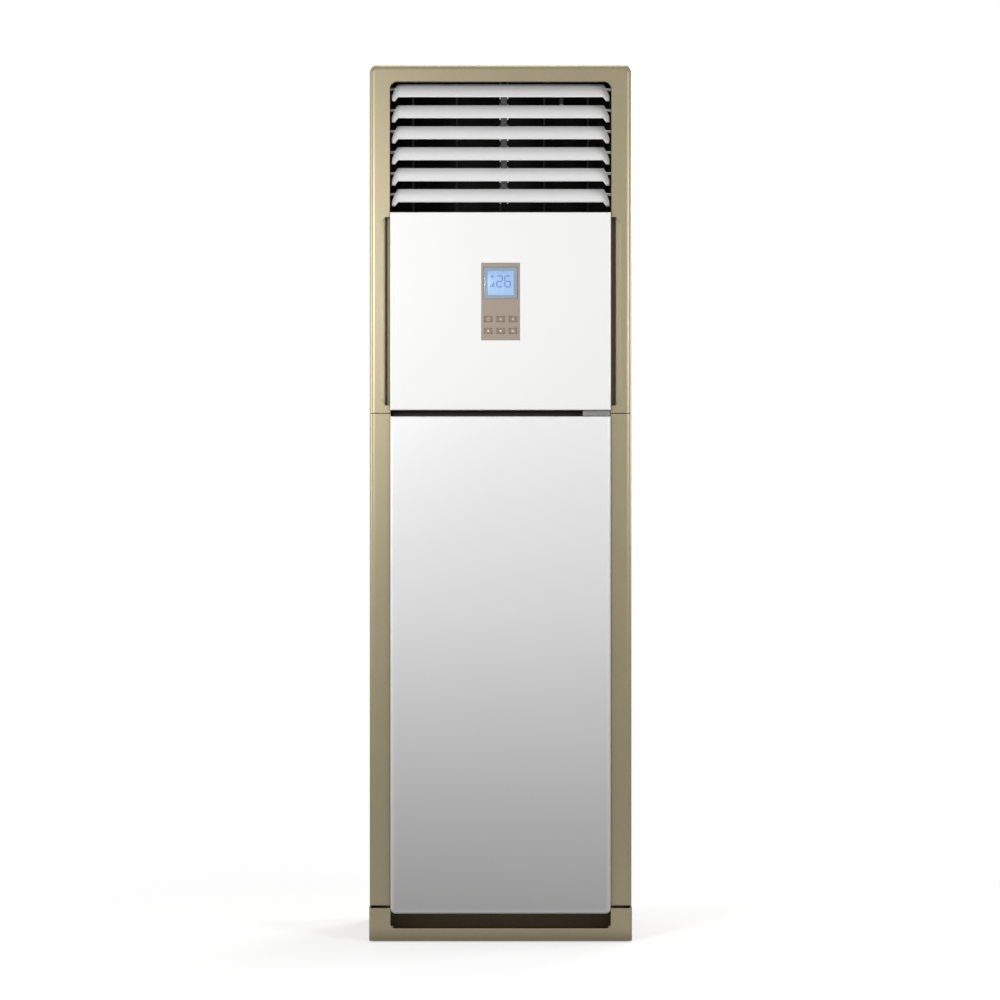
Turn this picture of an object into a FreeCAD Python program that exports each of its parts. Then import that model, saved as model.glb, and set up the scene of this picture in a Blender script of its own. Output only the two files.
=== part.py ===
import FreeCAD, Part
import math
import os
import Sketcher
from FreeCAD import Placement, Rotation, Vector
from types import SimpleNamespace

# Floor standing air conditioner. +Z is up, the front faces -Y and +X is to the viewer's right.
# The origin lies on the floor, under the middle of the plinth. Lengths are in mm, angles in degrees.

SIZES = {
    # Whole unit
    "total_height": 1700,
    "total_width": 510,
    "total_depth": 315,
    # Sheets, walls and fits
    "sheet": 1.2,
    "wall": 3.5,
    "plate": 2.5,
    "press_gap": 0.3,
    "pin_gap": 0.1,
    # Feet and base pan
    "foot_height": 12,
    "foot_radius": 20,
    "foot_inset_x": 42,
    "foot_inset_y": 44,
    "stud_radius": 4,
    "stud_length": 14,
    "pan_sheet": 2,
    "pan_flange": 81,
    "pan_lip": 10,
    "pan_inset": 15,
    "pan_rear_inset": 7.5,
    # Plinth
    "foot_drop": 2,
    "plinth_flare": 1,
    "plinth_setback": 2.5,
    "plinth_wall": 3,
    "plinth_height": 63.5,
    "plinth_bar": 24.3,
    "plinth_ledge": 16,
    "plinth_corner": 10,
    "plinth_return": 11,
    "intake_corner": 9,
    # Cabinet
    "cabinet_inset": 3,
    "back_inset": 4.5,
    "cap_height": 12,
    "cap_drop": 1,
    "cap_rim": 14,
    "cap_round": 6,
    "cap_overhang": 4,
    "flange": 18,
    "flange_gap": 1,
    "base_gap": 2.5,
    "rib_height": 14,
    "rib_half_length": 175,
    "rib_raise": 1.8,
    "screw_radius": 2,
    "screw_head_radius": 4.5,
    "screw_head": 2,
    "screw_length": 7,
    "screw_inset": 60,
    "anchor_radius": 3.25,
    "anchor_spacing": 300,
    "anchor_drop": 38,
    # Front mouldings
    "panel_proud": 6,
    "frame_depth": 58.5,
    "frame_corner": 15,
    "frame_round": 10,
    "rail_width": 40.5,
    "top_rail": 32.4,
    "outlet_height": 254.3,
    "outlet_corner": 15,
    "outlet_side": 1.5,
    "lip_depth": 11.5,
    "control_height": 383.3,
    "service_margin": 20,
    "panel_skin": 2.5,
    "panel_edge": 3,
    "panel_round": 3,
    "finger_slot": 12,
    "slot_depth": 26.5,
    "seam_gap": 1.6,
    "grip_width": 20,
    "grip_step": 6,
    "grip_depth": 16,
    "grip_bevel": 12,
    "grip_margin": 9,
    "grip_skin": 3,
    # Lower door
    "plinth_gap": 5,
    "intake_gap": 28.1,
    "door_gap": 2.5,
    "door_skin": 2,
    "door_corner": 10,
    "door_round": 5.5,
    "window_side": 14,
    "window_margin": 26,
    "guide_inset": 19,
    "hinge_back": 11.5,
    "hinge_rise": 5.5,
    "hinge_radius": 3,
    "hinge_eye": 7,
    "hinge_reach": 4,
    "slit_width": 21,
    "slit_height": 7,
    "slit_pitch": 22,
    "slit_setback": 13.5,
    "slit_margin": 60,
    "seal_depth": 2,
    "seal_gap": 0.5,
    "seal_head": 1,
    "catch_width": 54,
    "catch_gap": 1,
    # Filter in the back of the door
    "filter_depth": 14,
    "filter_border": 14,
    "filter_foot": 34,
    "filter_rib": 5,
    "mesh_sheet": 1,
    "mesh_wire": 3,
    # Outlet duct and louvres
    "duct_headroom": 13,
    "duct_rear_gap": 53,
    "duct_turn": 100,
    "louvre_setback": 27.5,
    "louvre_chord": 38,
    "louvre_sheet": 3,
    "louvre_crown": 70,
    "louvre_tilt": 44,
    "louvre_end_gap": 4,
    "louvre_taper": 10,
    "louvre_sill": 17.2,
    "louvre_head": 8.2,
    "louvre_pin": 3,
    "ear_length": 9,
    "ear_width": 12,
    "link_x": 6.6,
    "link_width": 11,
    "link_depth": 7,
    "link_gap": 0.5,
    "fork_sheet": 2.5,
    "fork_front": 6,
    "fork_margin": 3.6,
    "crank_radius": 27,
    "crank_lift": 12,
    "crank_pin": 2,
    "tab_x": 118.8,
    "tab_width": 7,
    "tab_reach": 44,
    "tab_sheet": 2,
    # Vertical vanes
    "vane_setback": 64,
    "vane_chord": 56,
    "vane_sheet": 2,
    "vane_lift": 13,
    "vane_head": 6,
    "vane_pin": 2.5,
    "vane_crank": 22,
    "vane_crank_pin": 1.75,
    "floor_reach": 26,
    "swing_bar_width": 8,
    "swing_bar_sheet": 3,
    "swing_bar_drop": 4,
    "swing_motor_radius": 14,
    "swing_motor_height": 20,
    "swing_motor_bore": 10,
    "swing_ear": 22,
    # Control bezel, display and keys
    "bezel_width": 75,
    "bezel_height": 150.3,
    "bezel_drop": 98,
    "bezel_recess": 1,
    "bezel_flange": 3,
    "bezel_sheet": 1.5,
    "bezel_corner": 3,
    "lens_width": 66,
    "lens_height": 62,
    "lens_drop": 8,
    "lens_flange": 2,
    "lens_sheet": 1,
    "module_depth": 4,
    "board_sheet": 1.6,
    "board_margin": 1,
    "key_width": 15,
    "key_height": 11,
    "key_corner": 4,
    "key_spacing_x": 24,
    "key_spacing_z": 23,
    "key_drop": 109,
    "key_flange": 1.2,
    "key_flange_sheet": 0.8,
    "key_seat": 0.1,
    "key_stem": 1.5,
    "key_travel": 0.8,
    "key_stop": 0.05,
    "switch_width": 6,
    "switch_height": 1.6,
    # Blower
    "plenum": 31,
    "deck_height": 640,
    "fan_drop": 275,
    "scroll_gap": 15,
    "scroll_step": 17,
    "cutoff_gap": 14,
    "inlet_step": 20,
    "inlet_gap": 14.5,
    "bellmouth": 11,
    "wheel_gap": 12,
    "wheel_plate": 2.5,
    "blade_depth": 24,
    "blade_sheet": 1.6,
    "blade_sweep": 9,
    "hub_radius": 18,
    "hub_length": 34,
    "shaft_radius": 6,
    "shaft_nose": 18,
    "shaft_nut": 11,
    "shaft_gap": 0.1,
    "motor_radius": 60,
    "motor_length": 62,
    "motor_gap": 13.5,
    "motor_cap": 3,
    "bracket_sheet": 3,
    "bracket_half_width": 110,
    "bracket_half_height": 45,
    "motor_hole": 40,
    "guard_wire": 4,
    "guard_ring_gap": 25,
    "guard_rim": 9,
    # Coil and drain
    "drain_rise": 60,
    "drain_height": 40,
    "drain_depth": 72,
    "drain_inset": 10,
    "coil_margin": 49.8,
    "coil_depth": 44,
    "coil_foot": 36,
    "coil_headroom": 90,
    "coil_rear_gap": 12,
    "fin_pitch": 10,
    "fin_gap": 7,
    "fin_groove": 20,
    "end_sheet": 1.5,
    "bend_radius": 12.5,
    "bend_tube": 4.8,
    # Pipes
    "pipe_inset": 22,
    "gas_radius": 8,
    "liquid_radius": 4.8,
    "pipe_wall": 1,
    "pipe_turn": 22,
    "gas_end": 190,
    "liquid_end": 245,
    "pipe_reach": 12,
    "pipe_hole_gap": 0.6,
    "nut_length": 20,
    "nut_margin": 6,
    "hose_inset": 30,
    "hose_radius": 8,
    "hose_wall": 1.5,
    "hose_end": 140,
    "hose_turn": 40,
    "hose_setback": 46,
    # Grommet and gland in the back panel
    "fitting_inset": 69.8,
    "grommet_z": 215,
    "grommet_bore": 32,
    "grommet_neck": 36,
    "grommet_flange": 41,
    "grommet_lip": 2.2,
    "grommet_length": 12,
    "gland_z": 330,
    "gland_bore": 6,
    "gland_neck": 9,
    "gland_flange": 14,
    # Electrical box
    "box_margin": 33.5,
    "box_rise": 15,
    "box_height": 105,
    "box_depth": 48,
    "box_sheet": 2,
    "main_board_margin": 12,
    "standoff": 6,
    "terminal_width": 70,
    "terminal_height": 24,
    "terminal_depth": 18,
}
LOUVRE_COUNT = 6
VANE_COUNT = 5
VANE_LEADER = 2
BLADE_COUNT = 36
MESH_COLUMNS = 12
MESH_ROWS = 24
GUARD_SPOKES = 6
RIB_COUNT = 4
SCREW_ROWS = 5
KEY_COLUMNS = 3
KEY_ROWS = 2
BEND_ROWS = 10
GAS_ROW = 3
LIQUID_ROW = 5


class Size:
    """A number that keeps the spreadsheet expression it was worked out from."""

    def __init__(self, value, text):
        self.value = value
        self.text = text

    def __neg__(self):
        return Size(-self.value, f"(-{self.text})")

    def __add__(self, other):
        other = as_size(other)
        return Size(self.value + other.value, f"({self.text} + {other.text})")

    def __sub__(self, other):
        other = as_size(other)
        return Size(self.value - other.value, f"({self.text} - {other.text})")

    def __mul__(self, other):
        other = as_size(other)
        return Size(self.value * other.value, f"({self.text} * {other.text})")

    def __truediv__(self, other):
        other = as_size(other)
        return Size(self.value / other.value, f"({self.text} / {other.text})")

    def __radd__(self, other):
        return as_size(other) + self

    def __rsub__(self, other):
        return as_size(other) - self

    def __rmul__(self, other):
        return as_size(other) * self


def as_size(number):
    if isinstance(number, Size):
        return number
    return Size(float(number), f"({float(number)})")


def sine(angle):
    return Size(math.sin(math.radians(angle.value)), f"sin({angle.text} * 1 deg)")


def cosine(angle):
    return Size(math.cos(math.radians(angle.value)), f"cos({angle.text} * 1 deg)")


def lean_angle(rise, run):
    """The angle whose tangent is rise over run, as a plain number of degrees."""
    slope = rise / run
    return Size(math.degrees(math.atan(slope.value)), f"(atan({slope.text}) / 1 deg)")


doc = FreeCAD.newDocument("floor_standing_air_conditioner")
sheet = doc.addObject("Spreadsheet::Sheet", "Sizes")
for row, (alias, number) in enumerate(SIZES.items(), start=1):
    sheet.set(f"A{row}", alias)
    sheet.set(f"B{row}", str(number))
    sheet.setAlias(f"B{row}", alias)
doc.recompute()
s = SimpleNamespace(**{alias: Size(float(number), f"Sizes.{alias}") for alias, number in SIZES.items()})
PARTS = {}


# Drawing helpers

def bind(item, name, number):
    item.setExpression(name, as_size(number).text)


def place(item, x, y, z):
    bind(item, "Placement.Base.x", x)
    bind(item, "Placement.Base.y", y)
    bind(item, "Placement.Base.z", z)


def box(x0, x1, y0, y1, z0, z1):
    solid = doc.addObject("Part::Box", "Block")
    bind(solid, "Length", x1 - x0)
    bind(solid, "Width", y1 - y0)
    bind(solid, "Height", z1 - z0)
    place(solid, x0, y0, z0)
    return solid


def box_pair(x0, x1, y0, y1, z0, z1):
    """The same block on the right side and, mirrored, on the left."""
    return [box(x0, x1, y0, y1, z0, z1), box(-x1, -x0, y0, y1, z0, z1)]


AXIS_TURN = {
    "X": Rotation(Vector(0, 1, 0), 90),
    "Y": Rotation(Vector(1, 0, 0), -90),
    "Z": Rotation(),
}


def along(axis, start, u, v):
    """Put a position along one axis and two across it into x, y, z order."""
    if axis == "X":
        return start, u, v
    if axis == "Y":
        return u, start, v
    return u, v, start


def cylinder(axis, u, v, start, end, radius):
    solid = doc.addObject("Part::Cylinder", "Round")
    solid.Placement = Placement(Vector(), AXIS_TURN[axis])
    bind(solid, "Radius", radius)
    bind(solid, "Height", end - start)
    place(solid, *along(axis, start, u, v))
    return solid


def group(pieces):
    item = doc.addObject("Part::Compound", "Group")
    item.Links = pieces
    return item


def fuse(*pieces):
    item = doc.addObject("Part::MultiFuse", "Joined")
    item.Shapes = list(pieces)
    item.Refine = True
    return item


def cut(base, *tools):
    item = doc.addObject("Part::Cut", "Trimmed")
    item.Base = base
    item.Tool = tools[0] if len(tools) == 1 else group(list(tools))
    return item


def common(base, tool):
    item = doc.addObject("Part::Common", "Overlap")
    item.Base = base
    item.Tool = tool
    return item


def ring(axis, u, v, start, end, outer, inner):
    return cut(cylinder(axis, u, v, start, end, outer), cylinder(axis, u, v, start, end, inner))


def code_solid(shape):
    item = doc.addObject("Part::Feature", "Shaped")
    item.Shape = shape
    return item


def copy_at(template, x, y, z):
    item = group([template])
    place(item, x, y, z)
    return item


def tilted_copy(template, angle, x, y, z):
    """A copy turned about X, then moved to x, y, z."""
    item = group([template])
    item.Placement = Placement(Vector(), Rotation(Vector(1, 0, 0), angle.value))
    bind(item, "Placement.Rotation.Angle", angle)
    place(item, x, y, z)
    return item


def node(label, item):
    item.Label = label
    PARTS[label] = item
    return item


# Helpers for bodies made of sketches, pads and pockets

def new_body():
    return doc.addObject("PartDesign::Body", "Body")


def sketch_at(body, role, level):
    """A sketch on the body's XY, XZ or YZ plane, moved to a level along the third axis."""
    planes = {feature.Role: feature for feature in body.Origin.OriginFeatures}
    sketch = body.newObject("Sketcher::SketchObject", "Outline")
    sketch.AttachmentSupport = [(planes[f"{role}_Plane"], "")]
    sketch.MapMode = "FlatFace"
    bind(sketch, "AttachmentOffset.Base.z", -as_size(level) if role == "XZ" else level)
    return sketch


def hold_point(sketch, index, corner, u, v):
    for direction, number in (("DistanceX", as_size(u)), ("DistanceY", as_size(v))):
        mark = sketch.addConstraint(Sketcher.Constraint(direction, -1, 1, index, corner, number.value))
        sketch.setExpression(f"Constraints[{mark}]", number.text)


def draw_polygon(sketch, points):
    corners = [Vector(as_size(u).value, as_size(v).value, 0) for u, v in points]
    first = sketch.GeometryCount
    count = len(points)
    for index in range(count):
        sketch.addGeometry(Part.LineSegment(corners[index], corners[(index + 1) % count]), False)
    for index in range(count):
        following = first + (index + 1) % count
        sketch.addConstraint(Sketcher.Constraint("Coincident", first + index, 2, following, 1))
    for index, (u, v) in enumerate(points):
        hold_point(sketch, first + index, 1, u, v)


def draw_circle(sketch, u, v, radius):
    centre = Vector(as_size(u).value, as_size(v).value, 0)
    index = sketch.addGeometry(Part.Circle(centre, Vector(0, 0, 1), radius.value), False)
    hold_point(sketch, index, 3, u, v)
    mark = sketch.addConstraint(Sketcher.Constraint("Radius", index, radius.value))
    sketch.setExpression(f"Constraints[{mark}]", radius.text)


def rectangle(u0, u1, v0, v1):
    return [(u0, v0), (u1, v0), (u1, v1), (u0, v1)]


def add_feature(body, kind, sketch, start, end):
    feature = body.newObject(f"PartDesign::{kind}", kind)
    feature.Profile = sketch
    bind(feature, "Length", end - start)
    return feature


def pad(body, role, start, end, *outlines):
    """Add material from start to end along the axis across the sketch plane."""
    sketch = sketch_at(body, role, start)
    for outline in outlines:
        draw_polygon(sketch, outline)
    feature = add_feature(body, "Pad", sketch, start, end)
    feature.Reversed = role == "XZ"
    return feature


def pocket(body, role, start, end, *outlines):
    """Take material away from start to end along the axis across the sketch plane."""
    sketch = sketch_at(body, role, start)
    for outline in outlines:
        draw_polygon(sketch, outline)
    feature = add_feature(body, "Pocket", sketch, start, end)
    feature.Reversed = role != "XZ"
    return feature


def pad_circle(body, role, start, end, u, v, radius):
    sketch = sketch_at(body, role, start)
    draw_circle(sketch, u, v, radius)
    feature = add_feature(body, "Pad", sketch, start, end)
    feature.Reversed = role == "XZ"
    return feature


def is_at(edge, **planes):
    """True if the edge lies in each plane named, such as x=10, y=-5 or z=0."""
    bounds = edge.BoundBox
    limits = {"x": (bounds.XMin, bounds.XMax), "y": (bounds.YMin, bounds.YMax), "z": (bounds.ZMin, bounds.ZMax)}
    near = 0.001
    for name, number in planes.items():
        level = as_size(number).value
        low, high = limits[name]
        if abs(low - level) > near or abs(high - level) > near:
            return False
    return True


def round_edges(body, radius, choose):
    doc.recompute()
    base = body.Tip
    names = [f"Edge{index}" for index, edge in enumerate(base.Shape.Edges, start=1) if choose(edge)]
    feature = body.newObject("PartDesign::Fillet", "Rounding")
    feature.Base = (base, names)
    bind(feature, "Radius", radius)
    return feature


# Main planes and heights

front = -s.total_depth / 2
back = s.total_depth / 2
plinth_half = s.total_width / 2
frame_half = plinth_half - s.plinth_flare
cabinet_half = frame_half - s.cabinet_inset
inner_half = cabinet_half - s.sheet
panel_half = frame_half - s.rail_width
frame_inner_half = frame_half - s.wall
frame_front = front + s.panel_proud
frame_back = frame_front + s.frame_depth
plate_back = frame_front + s.wall
cabinet_back = back - s.back_inset

pan_bottom = s.foot_height
pan_top = pan_bottom + s.pan_sheet
flange_top = pan_top + s.pan_flange
pan_front = front + s.pan_inset + s.plinth_setback
pan_back = back - s.pan_rear_inset
plinth_bottom = s.foot_drop
plinth_top = plinth_bottom + s.plinth_height
intake_sill = plinth_bottom + s.plinth_bar
door_bottom = plinth_top + s.plinth_gap
door_panel_bottom = intake_sill + s.intake_gap
side_bottom = plinth_top + s.base_gap
cabinet_top = s.total_height - s.cap_height

outlet_top = s.total_height - s.top_rail
outlet_bottom = outlet_top - s.outlet_height
outlet_half = panel_half + s.outlet_side
control_bottom = outlet_bottom - s.control_height
seam = control_bottom - s.finger_slot / 2
upper_bottom = seam + s.seam_gap / 2
door_top = seam - s.seam_gap / 2
door_panel_top = seam - s.finger_slot / 2
slot_back = frame_front + s.slot_depth
lip_back = frame_front + s.lip_depth

hinge_y = frame_front + s.hinge_back
hinge_z = door_bottom + s.hinge_rise
feet = [(side * (plinth_half - s.foot_inset_x), end * (back - s.foot_inset_y))
        for side in (-1, 1) for end in (-1, 1)]
screw_rows = [side_bottom + s.screw_inset + index * (cabinet_top - side_bottom - s.screw_inset * 2)
              / (SCREW_ROWS - 1) for index in range(SCREW_ROWS)]
screw_x = inner_half - s.flange / 2
anchor_z = cabinet_top - s.anchor_drop


# Base

def make_levelling_feet():
    """Four rubber pads, each with a threaded stud through the base pan."""
    pad_solid = cylinder("Z", 0, 0, 0, s.foot_height, s.foot_radius)
    stud = cylinder("Z", 0, 0, s.foot_height, s.foot_height + s.stud_length, s.stud_radius)
    foot = fuse(pad_solid, stud)
    node("levelling_feet", group([copy_at(foot, x, y, 0) for x, y in feet]))


def make_base_pan():
    """A folded steel tray. Its side flanges carry the side panels and the eyes of the door hinge."""
    flange_inside = inner_half - s.pan_sheet
    tray = [box(-inner_half, inner_half, pan_front, pan_back, pan_bottom, pan_top)]
    tray += box_pair(flange_inside, inner_half, pan_front, pan_back, pan_top, flange_top)
    tray.append(box(-flange_inside, flange_inside, pan_back - s.pan_sheet, pan_back, pan_top, flange_top))
    tray.append(box(-flange_inside, flange_inside, pan_front, pan_front + s.pan_sheet, pan_top,
                    pan_top + s.pan_lip))
    eye_hole = s.hinge_radius + s.pin_gap
    holes = []
    for start, end in ((flange_inside, inner_half), (-inner_half, -flange_inside)):
        tray.append(cylinder("X", hinge_y, hinge_z, start, end, s.hinge_eye))
        holes.append(cylinder("X", hinge_y, hinge_z, start, end, eye_hole))
    holes += [cylinder("Z", x, y, pan_bottom, pan_top, s.stud_radius + s.press_gap) for x, y in feet]
    node("base_pan", cut(fuse(*tray), *holes))


def make_plinth():
    """The skirt moulding round the base, with the air gap cut in its front wall."""
    skirt_front = front + s.plinth_setback
    inside = plinth_half - s.plinth_wall
    ledge_inside = inside - s.plinth_ledge
    body = new_body()
    pad(body, "XY", plinth_bottom, plinth_top, rectangle(-plinth_half, plinth_half, skirt_front, back))
    round_edges(body, s.plinth_corner,
                lambda edge: is_at(edge, x=edge.BoundBox.XMin, y=edge.BoundBox.YMin))
    pocket(body, "XY", pan_bottom, plinth_top,
           rectangle(-inside, inside, skirt_front + s.plinth_wall, back - s.plinth_wall))
    pocket(body, "XY", plinth_bottom, pan_bottom,
           rectangle(-ledge_inside, ledge_inside, skirt_front + s.plinth_wall + s.plinth_ledge,
                     back - s.plinth_wall - s.plinth_ledge))
    post = panel_half + s.plinth_wall
    wall_back = skirt_front + s.plinth_wall + s.plinth_return
    pad(body, "XY", pan_bottom, plinth_top,
        rectangle(panel_half, post, skirt_front + s.plinth_wall, wall_back),
        rectangle(-post, -panel_half, skirt_front + s.plinth_wall, wall_back))
    pocket(body, "XZ", skirt_front, skirt_front + s.plinth_wall,
           rectangle(-panel_half, panel_half, intake_sill, plinth_top))
    round_edges(body, s.intake_corner,
                lambda edge: is_at(edge, z=intake_sill, x=edge.BoundBox.XMin)
                and abs(abs(edge.BoundBox.XMin) - panel_half.value) < 0.001)
    node("plinth", body)


# Cabinet

def make_side_panels():
    """Two folded sheets. The flanges at front, back and top face inwards."""
    flange_inside = inner_half - s.flange
    flange_bottom = flange_top + s.flange_gap
    for label, side in (("right_side_panel", 1), ("left_side_panel", -1)):
        def side_box(x0, x1, y0, y1, z0, z1):
            if side > 0:
                return box(x0, x1, y0, y1, z0, z1)
            return box(-x1, -x0, y0, y1, z0, z1)
        skin = side_box(inner_half, cabinet_half, frame_back, cabinet_back, side_bottom, cabinet_top)
        front_flange = side_box(flange_inside, inner_half, frame_back, frame_back + s.sheet,
                                flange_bottom, cabinet_top)
        rear_flange = side_box(flange_inside, inner_half, cabinet_back - s.sheet, cabinet_back,
                               flange_bottom, cabinet_top)
        top_flange = side_box(flange_inside, inner_half, frame_back + s.sheet, cabinet_back - s.sheet,
                              cabinet_top - s.sheet, cabinet_top)
        holes = [cylinder("Y", side * screw_x, z, cabinet_back - s.sheet, cabinet_back,
                          s.screw_radius + s.press_gap) for z in screw_rows]
        node(label, cut(fuse(skin, front_flange, rear_flange, top_flange), *holes))


def make_back_panel():
    """A flat sheet with pressed ribs, two wall anchor holes and the holes for pipes, hose and cable."""
    outside = cabinet_back + s.sheet
    plate = box(-inner_half, inner_half, cabinet_back, outside, side_bottom, cabinet_top)
    rib_zone = anchor_z - s.gland_z
    ribs = []
    for index in range(RIB_COUNT):
        z = s.gland_z + rib_zone * (index + 1) / (RIB_COUNT + 1)
        ribs.append(box(-s.rib_half_length, s.rib_half_length, outside, outside + s.rib_raise, z,
                        z + s.rib_height))
    holes = [cylinder("Y", side * screw_x, z, cabinet_back, outside, s.screw_radius + s.press_gap)
             for side in (-1, 1) for z in screw_rows]
    holes += [cylinder("Y", side * s.anchor_spacing / 2, anchor_z, cabinet_back, outside, s.anchor_radius)
              for side in (-1, 1)]
    holes.append(cylinder("Y", fitting_x, s.grommet_z, cabinet_back, outside, s.grommet_neck + s.pin_gap))
    holes.append(cylinder("Y", -fitting_x, s.gland_z, cabinet_back, outside, s.gland_neck + s.pin_gap))
    holes.append(cylinder("Y", hose_x, s.hose_end, cabinet_back, outside, s.hose_radius + s.press_gap))
    node("back_panel", cut(fuse(plate, *ribs), *holes))


def make_casing_screws():
    """Pan head screws that hold the back panel to the flanges of the side panels."""
    outside = cabinet_back + s.sheet
    shank = cylinder("Y", 0, 0, outside - s.screw_length, outside, s.screw_radius)
    head = cylinder("Y", 0, 0, outside, outside + s.screw_head, s.screw_head_radius)
    screw = fuse(shank, head)
    node("casing_screws", group([copy_at(screw, side * screw_x, 0, z) for side in (-1, 1)
                                 for z in screw_rows]))


def make_top_cover():
    """A moulded cap that rests on the top flanges of the side panels."""
    cap_front = frame_back + s.flange_gap
    cap_back = cabinet_back + s.cap_overhang
    body = new_body()
    pad(body, "XY", cabinet_top, s.total_height - s.cap_drop,
        rectangle(-frame_half, frame_half, cap_front, cap_back))
    top = s.total_height - s.cap_drop
    round_edges(body, s.cap_round,
                lambda edge: is_at(edge, z=top) and not is_at(edge, y=cap_front))
    rim = cabinet_half - s.cap_rim
    pocket(body, "XY", cabinet_top, top - s.wall,
           rectangle(-rim, rim, cap_front + s.cap_rim, cabinet_back - s.cap_rim))
    node("top_cover", body)


# Upper front

def make_upper_frame():
    """The upper front moulding: louvre opening, service opening, finger slot and two side grips."""
    top = s.total_height
    inner_top = top - s.wall
    soft = s.frame_corner - s.wall
    body = new_body()
    pad(body, "XZ", frame_front, frame_back, rectangle(-frame_half, frame_half, upper_bottom, top))
    round_edges(body, s.frame_corner, lambda edge: is_at(edge, z=top, x=edge.BoundBox.XMin))
    round_edges(body, s.frame_round,
                lambda edge: is_at(edge, y=frame_front) and not is_at(edge, z=upper_bottom))
    hollow = frame_inner_half - soft
    pocket(body, "XZ", plate_back, frame_back,
           [(-frame_inner_half, upper_bottom + s.wall), (frame_inner_half, upper_bottom + s.wall),
            (frame_inner_half, inner_top - soft), (hollow, inner_top), (-hollow, inner_top),
            (-frame_inner_half, inner_top - soft)])
    lip_half = outlet_half + s.wall
    pad(body, "XZ", plate_back, lip_back,
        rectangle(-lip_half, lip_half, outlet_bottom - s.wall, outlet_top + s.wall))
    pocket(body, "XZ", frame_front, lip_back,
           rectangle(-outlet_half, outlet_half, outlet_bottom, outlet_top))
    round_edges(body, s.outlet_corner,
                lambda edge: is_at(edge, z=outlet_top, x=edge.BoundBox.XMin)
                and abs(abs(edge.BoundBox.XMin) - outlet_half.value) < 0.001)
    service_half = panel_half - s.service_margin
    pocket(body, "XZ", frame_front, plate_back,
           rectangle(-service_half, service_half, control_bottom + s.service_margin,
                     outlet_bottom - s.service_margin))
    slot_half = panel_half + s.wall
    pad(body, "XZ", plate_back, slot_back + s.wall,
        rectangle(-slot_half, slot_half, upper_bottom, control_bottom + s.wall))
    pocket(body, "XZ", frame_front, slot_back,
           rectangle(-panel_half, panel_half, upper_bottom, control_bottom))
    grip_mid = panel_half + s.grip_width / 2
    grip_out = panel_half + s.grip_width
    grip_back = frame_front + s.grip_depth
    grip_bottom = control_bottom + s.grip_margin
    grip_top = outlet_bottom - s.grip_margin
    pad(body, "XY", grip_bottom - s.grip_skin, grip_top + s.grip_skin,
        rectangle(panel_half, grip_out, plate_back, grip_back + s.grip_skin),
        rectangle(-grip_out, -panel_half, plate_back, grip_back + s.grip_skin))
    scoop = [(panel_half, frame_front), (grip_out, frame_front), (grip_mid, frame_front + s.grip_step),
             (grip_mid, grip_back), (panel_half, grip_back)]
    mouth = [(panel_half, grip_bottom), (grip_mid, grip_bottom), (grip_out, grip_bottom + s.grip_bevel),
             (grip_out, grip_top - s.grip_bevel), (grip_mid, grip_top), (panel_half, grip_top)]
    hollows = []
    for side in (-1, 1):
        depth = new_body()
        pad(depth, "XY", grip_bottom, grip_top, [(side * u, v) for u, v in scoop])
        outline = new_body()
        pad(outline, "XZ", frame_front, grip_back, [(side * u, v) for u, v in mouth])
        hollows.append(common(depth, outline))
    node("upper_frame", cut(body, *hollows))


bezel_top = outlet_bottom - s.bezel_drop
bezel_bottom = bezel_top - s.bezel_height
bezel_half = s.bezel_width / 2
skin_back = front + s.panel_skin
bezel_front = front + s.bezel_recess
bezel_back = skin_back + s.bezel_sheet
lens_top = bezel_top - s.lens_drop
lens_bottom = lens_top - s.lens_height
lens_half = s.lens_width / 2
lens_back = bezel_back + s.lens_sheet
board_front = lens_back + s.module_depth
key_middle = (KEY_COLUMNS - 1) / 2
keys = [((column - key_middle) * s.key_spacing_x, bezel_top - s.key_drop - line * s.key_spacing_z)
        for line in range(KEY_ROWS) for column in range(KEY_COLUMNS)]


def make_control_panel():
    """The white front cover of the controls, a shell with a hole for the bezel."""
    rim = panel_half - s.panel_edge
    body = new_body()
    pad(body, "XZ", front, frame_front, rectangle(-panel_half, panel_half, control_bottom, outlet_bottom))
    round_edges(body, s.panel_round, lambda edge: is_at(edge, y=front))
    pocket(body, "XZ", skin_back, frame_front,
           rectangle(-rim, rim, control_bottom + s.panel_edge, outlet_bottom - s.panel_edge))
    pocket(body, "XZ", front, skin_back, rectangle(-bezel_half, bezel_half, bezel_bottom, bezel_top))
    node("control_panel", body)


def make_control_bezel():
    """The control surround, put in from behind, with the window and the six key holes."""
    raised_half = bezel_half - s.press_gap
    flange_half = bezel_half + s.bezel_flange
    body = new_body()
    pad(body, "XZ", bezel_front, skin_back,
        rectangle(-raised_half, raised_half, bezel_bottom + s.press_gap, bezel_top - s.press_gap))
    round_edges(body, s.bezel_corner,
                lambda edge: is_at(edge, x=edge.BoundBox.XMin, z=edge.BoundBox.ZMin))
    pad(body, "XZ", skin_back, bezel_back,
        rectangle(-flange_half, flange_half, bezel_bottom - s.bezel_flange, bezel_top + s.bezel_flange))
    pocket(body, "XZ", bezel_front, bezel_back, rectangle(-lens_half, lens_half, lens_bottom, lens_top))
    hole_half = s.key_width / 2 + s.press_gap
    hole_rise = s.key_height / 2 + s.press_gap
    pocket(body, "XZ", bezel_front, bezel_back,
           *[rectangle(x - hole_half, x + hole_half, z - hole_rise, z + hole_rise) for x, z in keys])
    node("control_bezel", body)


def make_lcd_lens():
    """The clear window over the display, flanged behind the bezel."""
    clear_half = lens_half - s.press_gap
    flange_half = lens_half + s.lens_flange
    pane = box(-clear_half, clear_half, bezel_front, bezel_back, lens_bottom + s.press_gap,
               lens_top - s.press_gap)
    flange = box(-flange_half, flange_half, bezel_back, lens_back, lens_bottom - s.lens_flange,
                 lens_top + s.lens_flange)
    node("lcd_lens", fuse(pane, flange))


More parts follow.
